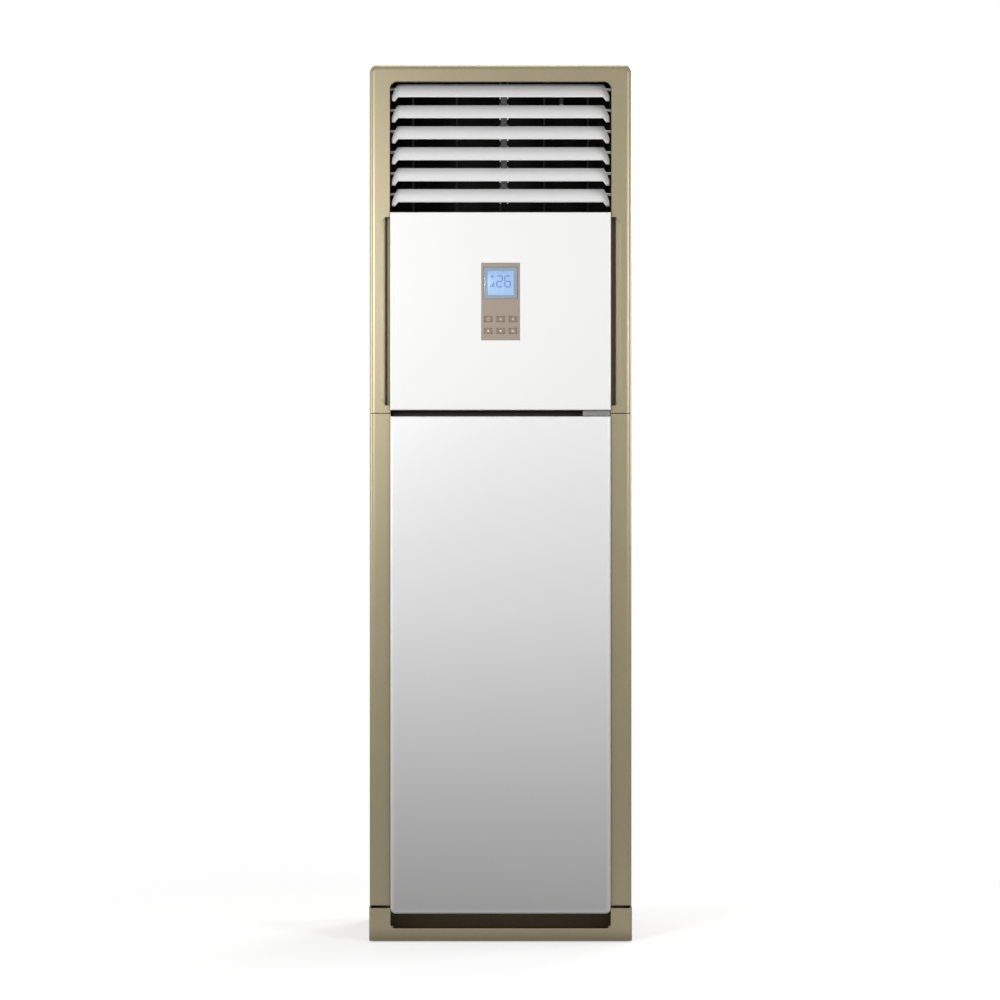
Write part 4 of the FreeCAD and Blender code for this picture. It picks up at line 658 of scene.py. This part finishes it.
# Partly painted shade: the louvres' rear, cranks and tab turn dark grey behind the sprayed front.
bare_and_shaded_rear(louvre_silver, linear(62, 62, 62), spray_end, spray_end + SPRAY_FADE)
link_grey = coloured_finish("link_grey", linear(64, 64, 64), 0.5,
                            tone=(14, 0.1), grain=(1100, 0.1), dust=0.02)
wear(louvre_silver, *[f"horizontal_louvre_{number}" for number in range(1, 7)])
wear(link_grey, "louvre_link_bar")


# Gold mouldings: upper frame, top cap, door frame and plinth
# Injection moulded and sprayed with a champagne metallic paint: fine aluminium flake under a thin
# clear coat. The grips and inner corners are a little darker, as painted shade.

def make_gold_paint():
    finish, tree, shader = new_finish("gold_moulding", 0.42, metallic=0.5, coat=0.15)
    place = tree.nodes.new("ShaderNodeTexCoord")
    flake = tree.nodes.new("ShaderNodeTexVoronoi")
    sparkle = tree.nodes.new("ShaderNodeSeparateColor")
    ramp = tree.nodes.new("ShaderNodeValToRGB")
    drift = place_effect(tree, uneven_tone, Scale=2.5, Depth=0.05)
    film = place_effect(tree, settled_dust, Amount=0.12)
    sheen = place_effect(tree, handled_sheen, Roughness=0.42, Spread=0.08)
    pebble = place_effect(tree, fine_grain, Scale=1500, Depth=0.05)
    flake.inputs["Scale"].default_value = 1800
    ramp.color_ramp.elements[0].color = linear(162, 151, 121)
    ramp.color_ramp.elements[1].color = linear(176, 165, 135)
    shader.inputs["Coat Roughness"].default_value = 0.18
    tree.links.new(place.outputs["Object"], flake.inputs["Vector"])
    tree.links.new(flake.outputs["Color"], sparkle.inputs["Color"])
    tree.links.new(sparkle.outputs["Red"], ramp.inputs["Fac"])
    tree.links.new(ramp.outputs["Color"], drift.inputs["Colour"])
    tree.links.new(drift.outputs["Colour"], film.inputs["Colour"])
    tree.links.new(film.outputs["Colour"], shader.inputs["Base Color"])
    tree.links.new(sheen.outputs["Roughness"], shader.inputs["Roughness"])
    tree.links.new(pebble.outputs["Normal"], shader.inputs["Normal"])
    return finish


gold_moulding = make_gold_paint()
# Painted shade: grips, seams and inner corners darken where other surfaces close round them.
shade_recesses(gold_moulding, linear(108, 98, 76), reach=0.03, depth=2)
wear(gold_moulding, "upper_frame", "top_cover", "lower_frame", "plinth")


# Control panel
# A glossy white shell with soft edges, moulded in one piece. It is fixed to the front of the upper
# frame, between the two hand grips, and has a hole for the control bezel.

white_moulding = coloured_finish("white_moulding", linear(246, 246, 245), 0.24, coat=0.3,
                                 tone=(3, 0.02), grain=(1200, 0.02), spread=0.05, dust=0.05)
wear(white_moulding, "control_panel")


# Control bezel and display
# A tan sprayed surround, put in from behind. Its window is a clear pane over a grey border and a
# back-lit blue liquid crystal with darker segments, in front of the display board.

bezel_tan = coloured_finish("bezel_tan", linear(164, 150, 135), 0.4, metallic=0.2, coat=0.1,
                            tone=(9, 0.06), grain=(1500, 0.06), dust=0.04)
wear(bezel_tan, "control_bezel")
wear(circuit_board, "display_board")
pane_low, pane_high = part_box("lcd_lens")
lens_z = (pane_low.z + pane_high.z) / 2
LENS_HALF = 0.0326
LENS_RISE = 0.0306
SCREEN_HALF = 0.0252
SCREEN_RISE = 0.0242


def make_window_glass():
    finish, tree, shader = new_finish("display_glass", 0.08)
    shader.inputs["Base Color"].default_value = linear(214, 228, 240)
    shader.inputs["Alpha"].default_value = 0.1
    sheen = place_effect(tree, handled_sheen, Roughness=0.08, Spread=0.04)
    tree.links.new(sheen.outputs["Roughness"], shader.inputs["Roughness"])
    return finish


def make_lit_screen():
    """Blue back light, a little brighter towards the lower edge and faintly clouded."""
    finish, tree, shader = new_finish("lit_screen", 0.25)
    place = tree.nodes.new("ShaderNodeTexCoord")
    split = tree.nodes.new("ShaderNodeSeparateXYZ")
    span = tree.nodes.new("ShaderNodeMapRange")
    ramp = tree.nodes.new("ShaderNodeValToRGB")
    span.inputs["From Min"].default_value = lens_z - SCREEN_RISE
    span.inputs["From Max"].default_value = lens_z + SCREEN_RISE
    ramp.color_ramp.elements[0].color = linear(158, 192, 230)
    ramp.color_ramp.elements[1].color = linear(140, 174, 222)
    drift = place_effect(tree, uneven_tone, Scale=60, Depth=0.1)
    shader.inputs["Emission Strength"].default_value = 0.25
    tree.links.new(place.outputs["Object"], split.inputs["Vector"])
    tree.links.new(split.outputs["Z"], span.inputs["Value"])
    tree.links.new(span.outputs["Result"], ramp.inputs["Fac"])
    tree.links.new(ramp.outputs["Color"], drift.inputs["Colour"])
    tree.links.new(drift.outputs["Colour"], shader.inputs["Base Color"])
    tree.links.new(drift.outputs["Colour"], shader.inputs["Emission Color"])
    return finish


display_glass = make_window_glass()
lit_screen = make_lit_screen()
border_grey = coloured_finish("border_grey", linear(136, 155, 174), 0.3,
                              tone=(40, 0.05), dust=0.0)
segment_blue = coloured_finish("segment_blue", linear(66, 112, 186), 0.4,
                               tone=(60, 0.06), dust=0.0)
PANE_SHEET = 0.0011
PANE_EDGE = 0.0004
AIR_GAP = 0.0002
BORDER_SHEET = 0.0009
BORDER_EDGE = 0.00015
SCREEN_SETBACK = 0.0005
SCREEN_SHEET = 0.001
SCREEN_LAP = 0.001
SCREEN_EDGE = 0.0002
bezel_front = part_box("control_bezel")[0].y
border_front = bezel_front + PANE_SHEET + AIR_GAP
screen_front = border_front + SCREEN_SETBACK


def window_layer(half, rise, front, sheet):
    """A flat block centred on the window, from its front backwards."""
    return block((-half, front, lens_z - rise), (half, front + sheet, lens_z + rise))


def open_through(piece, width):
    """Leave a rim of this width and open the rest from front to back."""
    pick_faces(piece, lambda centre, normal: abs(normal.y) > 0.9)
    bpy.ops.mesh.inset(thickness=width, use_individual=True)
    bpy.ops.mesh.bridge_edge_loops()


pane = window_layer(LENS_HALF, LENS_RISE, bezel_front, PANE_SHEET)
soften(pane, PANE_EDGE)
settle(pane, "display_pane", display_glass, "cabinet")
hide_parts("lcd_lens")

border = window_layer(LENS_HALF, LENS_RISE, border_front, BORDER_SHEET)
open_through(border, LENS_HALF - SCREEN_HALF)
soften(border, BORDER_EDGE)
settle(border, "display_border", border_grey, "cabinet")

screen = window_layer(SCREEN_HALF + SCREEN_LAP, SCREEN_RISE + SCREEN_LAP,
                      screen_front, SCREEN_SHEET)
soften(screen, SCREEN_EDGE)
settle(screen, "display_screen", lit_screen, "cabinet")

SEGMENT_LENGTH = 0.0072
SEGMENT_WIDTH = 0.0021
SEGMENT_SHEET = 0.00025
SEGMENT_EDGE = 0.00005
TIP_SHARE = 0.2
DIGIT_REACH = 0.0053
DIGIT_RISE = 0.003
DIGIT_CENTRES = {"2": -0.002, "6": 0.0135}
DIGIT_SEGMENTS = {"2": "abged", "6": "afgedc"}
SEGMENT_PLACES = {
    "a": (0, 2, 0), "b": (1, 1, 90), "c": (1, -1, 90), "d": (0, -2, 0),
    "e": (-1, -1, 90), "f": (-1, 1, 90), "g": (0, 0, 0)}
STAR_TURNS = (0, 60, 120)
FLAKE_X = -0.0165
FLAKE_RISE = 0.0125
FLAKE_REACH = 0.0042
FLAKE_HALF = 0.0004
LEVEL_COUNT = 3
LEVEL_LEFT = -0.0205
LEVEL_PITCH = 0.0032
LEVEL_WIDTH = 0.002
LEVEL_FOOT = 0.008
LEVEL_TOP = 0.0045
LEVEL_GROWTH = 0.003
segments_front = screen_front - SEGMENT_SHEET


def make_segment():
    """One six-cornered bar of a digit, lying across the origin."""
    bar = block((-SEGMENT_LENGTH / 2, segments_front, -SEGMENT_WIDTH / 2),
                (SEGMENT_LENGTH / 2, screen_front, SEGMENT_WIDTH / 2))
    for way in (-1, 1):
        tip = (way * SEGMENT_WIDTH / 2, 0, 0)
        pick_faces(bar, faces_along("X", way))
        bpy.ops.mesh.extrude_region_move(TRANSFORM_OT_translate={"value": tip})
        bpy.ops.transform.resize(value=(1, 1, TIP_SHARE))
    return bar


segment_spots = []
for figure, centre in DIGIT_CENTRES.items():
    for letter in DIGIT_SEGMENTS[figure]:
        across, up, turn = SEGMENT_PLACES[letter]
        segment_spots.append((centre + across * DIGIT_REACH, 0,
                              lens_z + DIGIT_RISE + up * DIGIT_REACH, turn))
figures = copies(make_segment(), segment_spots)
flake_bar = block((-FLAKE_REACH, segments_front, -FLAKE_HALF),
                  (FLAKE_REACH, screen_front, FLAKE_HALF))
figures += copies(flake_bar, [(FLAKE_X, 0, lens_z + FLAKE_RISE, turn) for turn in STAR_TURNS])
for step in range(LEVEL_COUNT):
    left = LEVEL_LEFT + step * LEVEL_PITCH
    top = lens_z - LEVEL_TOP + step * LEVEL_GROWTH
    figures.append(block((left, segments_front, lens_z - LEVEL_FOOT),
                         (left + LEVEL_WIDTH, screen_front, top)))
symbols = join(figures)
soften(symbols, SEGMENT_EDGE)
settle(symbols, "display_segments", segment_blue, "cabinet")


# Keys
# Six rounded keys, sprayed a darker tan than the bezel and printed with plain signs: start, mode,
# fan, up, down and swing. Each is sprung and held behind the bezel by its flange.

key_tan = coloured_finish("key_tan", linear(146, 132, 117), 0.36, metallic=0.2, coat=0.1,
                          tone=(30, 0.06), grain=(1500, 0.05), dust=0.04)
print_white = coloured_finish("print_white", linear(226, 222, 214), 0.5,
                              tone=(60, 0.03), dust=0.0)
wear(key_tan, *[f"button_{number}" for number in range(1, 7)])
PRINT_SHEET = 0.00006
PRINT_ROOT = 0.0001
PRINT_EDGE = 0.00002
LINE_HALF = 0.0003
RING_RADIUS = 0.0026
RING_WIDTH = 0.0006
START_RISE = 0.0022
START_HALF = 0.0013
STAR_REACH = 0.0028
FAN_REACH = 0.0014
FAN_LENGTH_HALF = 0.0013
FAN_WIDTH_HALF = 0.0006
FAN_ANGLES = (math.pi / 2, math.pi * 7 / 6, math.pi * 11 / 6)
ARROW_REACH = 0.0028
SWING_PITCH = 0.0016
SWING_REACH = 0.0027
SWING_TURN = 18


def sign_bars(front, half_length, half_width, places):
    """Printed strokes of one size, rooted in the face of a key."""
    bar = block((-half_length, front - PRINT_SHEET, -half_width),
                (half_length, front + PRINT_ROOT, half_width))
    return copies(bar, places)


def sign_disc(front, radius, sides, place):
    """A printed disc with a number of sides; with three, an arrow head."""
    disc = drum(radius, front - PRINT_SHEET, front + PRINT_ROOT, sides=sides, axis="Y")
    return copies(disc, [place])[0]


def key_sign(number, x, z, front):
    """The strokes of one key's sign: start, mode, fan, up, down or swing."""
    if number == 1:
        ring = sign_disc(front, RING_RADIUS, 32, (x, 0, z, 0))
        open_through(ring, RING_WIDTH)
        return [ring, *sign_bars(front, LINE_HALF, START_HALF, [(x, 0, z + START_RISE, 0)])]
    if number == 2:
        return sign_bars(front, STAR_REACH, LINE_HALF, [(x, 0, z, turn) for turn in STAR_TURNS])
    if number == 3:
        return sign_bars(front, FAN_LENGTH_HALF, FAN_WIDTH_HALF,
                         [(x + FAN_REACH * math.cos(angle), 0, z + FAN_REACH * math.sin(angle),
                           -math.degrees(angle)) for angle in FAN_ANGLES])
    if number == 4:
        return [sign_disc(front, ARROW_REACH, 3, (x, 0, z, 0))]
    if number == 5:
        return [sign_disc(front, ARROW_REACH, 3, (x, 0, z, 180))]
    return sign_bars(front, SWING_REACH, LINE_HALF,
                     [(x, 0, z + step * SWING_PITCH, SWING_TURN) for step in (-1, 0, 1)])


for number in range(1, 7):
    key_low, key_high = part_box(f"button_{number}")
    key_x, key_z = (key_low.x + key_high.x) / 2, (key_low.z + key_high.z) / 2
    marks = key_sign(number, key_x, key_z, key_low.y)
    sign = join(marks) if len(marks) > 1 else marks[0]
    soften(sign, PRINT_EDGE)
    settle(sign, f"key_sign_{number}", print_white, f"key_{number}")


# Lower panel
# The door's face, a shallow shell fixed to the front of the door frame. It is sprayed silver and is
# paler towards the top, partly graded silver and partly painted light, with a painted highlight
# along its rim.

RIM_WIDTH = 0.012
RIM_PALENESS = 0.3


def rim_highlight_mask(tree, split, low, high):
    """Painted highlight: paler along the sides and the foot of the panel, where its rounded rim
    catches light.
    """
    across = tree.nodes.new("ShaderNodeMath")
    sides = tree.nodes.new("ShaderNodeMapRange")
    foot = tree.nodes.new("ShaderNodeMapRange")
    either = tree.nodes.new("ShaderNodeMath")
    across.operation = "ABSOLUTE"
    either.operation = "MAXIMUM"
    for item, inner, outer in ((sides, high.x - RIM_WIDTH, high.x),
                               (foot, low.z + RIM_WIDTH, low.z)):
        item.interpolation_type = "SMOOTHSTEP"
        item.inputs["From Min"].default_value = inner
        item.inputs["From Max"].default_value = outer
        item.inputs["To Max"].default_value = RIM_PALENESS
    tree.links.new(split.outputs["X"], across.inputs[0])
    tree.links.new(across.outputs[0], sides.inputs["Value"])
    tree.links.new(split.outputs["Z"], foot.inputs["Value"])
    tree.links.new(sides.outputs["Result"], either.inputs[0])
    tree.links.new(foot.outputs["Result"], either.inputs[1])
    return either.outputs[0]


def make_silver_panel():
    finish, tree, shader = new_finish("silver_panel", 0.38, metallic=0.08, coat=0.2)
    place = tree.nodes.new("ShaderNodeTexCoord")
    split = tree.nodes.new("ShaderNodeSeparateXYZ")
    span = tree.nodes.new("ShaderNodeMapRange")
    ramp = tree.nodes.new("ShaderNodeValToRGB")
    drift = place_effect(tree, uneven_tone, Scale=3, Depth=0.03)
    film = place_effect(tree, settled_dust, Amount=0.05)
    sheen = place_effect(tree, handled_sheen, Roughness=0.38, Spread=0.06)
    pebble = place_effect(tree, fine_grain, Scale=1700, Depth=0.05)
    low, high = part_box("lower_panel")
    span.inputs["From Min"].default_value = low.z
    span.inputs["From Max"].default_value = high.z
    # Partly painted light: over a graded silver, the colour pales towards the top as the lamps'
    # light would.
    ramp.color_ramp.elements[0].color = linear(175, 175, 175)
    ramp.color_ramp.elements[1].color = linear(244, 244, 244)
    for share, grey in ((0.13, 192), (0.35, 215), (0.6, 233)):
        ramp.color_ramp.elements.new(share).color = linear(grey, grey, grey)
    tree.links.new(place.outputs["Object"], split.inputs["Vector"])
    tree.links.new(split.outputs["Z"], span.inputs["Value"])
    tree.links.new(span.outputs["Result"], ramp.inputs["Fac"])
    tree.links.new(ramp.outputs["Color"], drift.inputs["Colour"])
    # Painted highlight: the rim is mixed towards a pale blue white.
    rim = rim_highlight_mask(tree, split, low, high)
    pale = tree.nodes.new("ShaderNodeMix")
    pale.data_type = "RGBA"
    pale.inputs["B"].default_value = linear(246, 247, 250)
    tree.links.new(rim, pale.inputs["Factor"])
    tree.links.new(drift.outputs["Colour"], film.inputs["Colour"])
    tree.links.new(film.outputs["Colour"], pale.inputs["A"])
    tree.links.new(pale.outputs["Result"], shader.inputs["Base Color"])
    tree.links.new(sheen.outputs["Roughness"], shader.inputs["Roughness"])
    tree.links.new(pebble.outputs["Normal"], shader.inputs["Normal"])
    return finish


silver_panel = make_silver_panel()
wear(silver_panel, "lower_panel")


# Slot between the panels: seal and catch
# A black rubber strip on the top of the door closes the back of the finger slot. Its black is
# painted shade for the slot. A grey catch block, dished and ribbed for the thumb, is fixed to the
# upper frame at the slot's right end.

catch_grey = coloured_finish("catch_grey", linear(136, 136, 134), 0.46,
                             tone=(10, 0.06), grain=(1000, 0.1))
# Painted shade: the seal's black stands for the shade at the back of the finger slot.
wear(black_rubber, "door_seal")
CATCH_RIM = 0.0012
CATCH_DISH = 0.0008
CATCH_EDGE = 0.0004
RIB_COUNT = 9
RIB_MARGIN = 0.006
RIB_HALF = 0.0007
RIB_FRONT = 0.0002
RIB_BACK = 0.001
RIB_END = 0.002
RIB_EDGE = 0.0002
catch_low, catch_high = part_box("panel_catch")
catch = block(catch_low, catch_high)
push_faces(catch, faces_along("Y", -1), CATCH_RIM, (0, CATCH_DISH, 0))
soften(catch, CATCH_EDGE)
rib = block((-RIB_HALF, catch_low.y + RIB_FRONT, catch_low.z + RIB_END),
            (RIB_HALF, catch_low.y + RIB_BACK, catch_high.z - RIB_END))
soften(rib, RIB_EDGE)
rib_step = (catch_high.x - catch_low.x - 2 * RIB_MARGIN) / (RIB_COUNT - 1)
rib_spots = [(catch_low.x + RIB_MARGIN + index * rib_step, 0, 0, 0) for index in range(RIB_COUNT)]
catch = join([catch, *copies(rib, rib_spots)])
settle(catch, "catch_block", catch_grey, "cabinet")
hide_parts("panel_catch")


# Filter
# A ribbed plastic frame that slides between the door's guides and carries a fine plastic net. It
# keeps dust from the coil and tilts out with the door.

filter_plastic = coloured_finish("filter_plastic", linear(92, 98, 102), 0.48,
                                 tone=(12, 0.1), grain=(1000, 0.1))
filter_net = coloured_finish("filter_net", linear(66, 70, 74), 0.6,
                             tone=(80, 0.2), grain=(2000, 0.1), dust=0.0)
wear(filter_plastic, "filter_frame")
net_low, net_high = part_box("filter_mesh")
NET_PITCH = 0.007
NET_THREAD = 0.0008
columns = round((net_high.x - net_low.x) / NET_PITCH)
rows = round((net_high.z - net_low.z) / NET_PITCH)
net_spot = (0, (net_low.y + net_high.y) / 2, (net_low.z + net_high.z) / 2)
begin()
bpy.ops.mesh.primitive_grid_add(x_subdivisions=columns, y_subdivisions=rows, size=1,
                                location=net_spot, rotation=(math.radians(90), 0, 0))
net = bpy.context.object
net.scale = (net_high.x - net_low.x, net_high.z - net_low.z, 1)
bpy.ops.object.transform_apply(location=True, rotation=True, scale=True)
threads = net.modifiers.new("threads", "WIREFRAME")
threads.thickness = NET_THREAD
threads.use_even_offset = False
threads.use_boundary = True
bpy.ops.object.modifier_apply(modifier=threads.name)
settle(net, "filter_netting", filter_net, "lower_door")
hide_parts("filter_mesh")


# Studio
# A pale floor that fades into a white room. A soft key lamp stands to the left, a fill further out
# to the right, others light the sides, back and top, and the camera looks straight at the front.

FLOOR_SPAN = 14
FADE_START = 0.25
FADE_END = 1.4
NEAR_LEVEL = 0.5


def make_floor(mirrored):
    """Matt near the cabinet, so that it holds a soft shadow, and plain white further away."""
    begin()
    bpy.ops.mesh.primitive_plane_add(size=FLOOR_SPAN, location=(0, 0, 0))
    floor = bpy.context.object
    floor.name = "studio_floor"
    finish = bpy.data.materials.new("pale_floor")
    finish.use_nodes = True
    tree = finish.node_tree
    tree.nodes.remove(shader_of(finish))
    place = tree.nodes.new("ShaderNodeTexCoord")
    distance = tree.nodes.new("ShaderNodeVectorMath")
    fade = tree.nodes.new("ShaderNodeMapRange")
    level = tree.nodes.new("ShaderNodeMapRange")
    matt = tree.nodes.new("ShaderNodeBsdfDiffuse")
    glow = tree.nodes.new("ShaderNodeEmission")
    ray = tree.nodes.new("ShaderNodeLightPath")
    seen = tree.nodes.new("ShaderNodeMath")
    strength = tree.nodes.new("ShaderNodeMath")
    total = tree.nodes.new("ShaderNodeAddShader")
    distance.operation = "LENGTH"
    for item, near, far in ((fade, NEAR_LEVEL, 0.0), (level, NEAR_LEVEL, 1.0)):
        item.interpolation_type = "SMOOTHSTEP"
        item.inputs["From Min"].default_value = FADE_START
        item.inputs["From Max"].default_value = FADE_END
        item.inputs["To Min"].default_value = near
        item.inputs["To Max"].default_value = far
        tree.links.new(distance.outputs["Value"], item.inputs["Value"])
    seen.operation = "MULTIPLY_ADD"
    seen.inputs[1].default_value = mirrored
    strength.operation = "MULTIPLY"
    tree.links.new(place.outputs["Object"], distance.inputs[0])
    tree.links.new(fade.outputs["Result"], matt.inputs["Color"])
    tree.links.new(level.outputs["Result"], strength.inputs[0])
    tree.links.new(ray.outputs["Is Glossy Ray"], seen.inputs[0])
    tree.links.new(ray.outputs["Is Camera Ray"], seen.inputs[2])
    tree.links.new(seen.outputs[0], strength.inputs[1])
    tree.links.new(strength.outputs[0], glow.inputs["Strength"])
    tree.links.new(matt.outputs[0], total.inputs[0])
    tree.links.new(glow.outputs[0], total.inputs[1])
    tree.links.new(total.outputs[0], tree.nodes["Material Output"].inputs["Surface"])
    floor.data.materials.append(finish)


def make_room(soft, mirrored):
    """White to the camera, half lit in reflections, and a soft even light for the rest."""
    world = bpy.data.worlds.new("studio_room")
    bpy.context.scene.world = world
    world.use_nodes = True
    tree = world.node_tree
    ray = tree.nodes.new("ShaderNodeLightPath")
    light = tree.nodes["Background"]
    light.inputs["Color"].default_value = (1, 1, 1, 1)
    last = None
    for kind, level in (("Is Camera Ray", 1 - soft), ("Is Transmission Ray", 1 - soft),
                        ("Is Glossy Ray", mirrored - soft)):
        step = tree.nodes.new("ShaderNodeMath")
        step.operation = "MULTIPLY_ADD"
        step.inputs[1].default_value = level
        step.inputs[2].default_value = soft
        tree.links.new(ray.outputs[kind], step.inputs[0])
        if last:
            tree.links.new(last.outputs[0], step.inputs[2])
        last = step
    tree.links.new(last.outputs[0], light.inputs["Strength"])


def make_lamp(name, place, target, size, power):
    lamp = bpy.data.lights.new(name, "AREA")
    lamp.shape = "RECTANGLE"
    lamp.size, lamp.size_y = size
    lamp.energy = power
    item = bpy.data.objects.new(name, lamp)
    bpy.context.scene.collection.objects.link(item)
    item.location = place
    aim = [b - a for a, b in zip(place, target)]
    flat = math.hypot(aim[0], aim[1])
    item.rotation_euler = (math.atan2(flat, -aim[2]), 0, math.atan2(aim[1], aim[0]) - math.pi / 2)


make_floor(mirrored=0.3)
make_room(soft=0.27, mirrored=0.45)
make_lamp("key_lamp", (-0.8, -1.56, 1.4), (0, -0.16, 1.1), (0.5, 0.5), 17.2)
make_lamp("fill_lamp", (1.4, -1.5, 1.4), (0, -0.16, 1.1), (0.7, 0.6), 15.5)
make_lamp("left_lamp", (-1.7, -0.2, 1.25), (-0.25, -0.14, 1.15), (0.2, 0.9), 11)
make_lamp("right_lamp", (1.8, 0.6, 1.2), (0.25, 0.1, 0.9), (0.6, 0.9), 11)
make_lamp("back_lamp", (1.3, 2.4, 2.2), (0, 0.16, 0.9), (1.2, 1.2), 42)
make_lamp("top_lamp", (0, 0.5, 3.1), (0, 0.05, 1.7), (1.0, 1.0), 12)

FRAME_METRES = 1.9356
LENS = 100
SENSOR = 36
CAMERA_X = -0.0012
CAMERA_HEIGHT = 0.856
camera_y = cad_low.y - FRAME_METRES * LENS / SENSOR
camera_data = bpy.data.cameras.new("front_camera")
camera_data.lens = LENS
camera_data.sensor_width = SENSOR
camera = bpy.data.objects.new("front_camera", camera_data)
bpy.context.scene.collection.objects.link(camera)
camera.location = (CAMERA_X, camera_y, CAMERA_HEIGHT)
camera.rotation_euler = (math.radians(90), 0, 0)
bpy.context.scene.camera = camera
bpy.context.scene.view_settings.view_transform = "Standard"
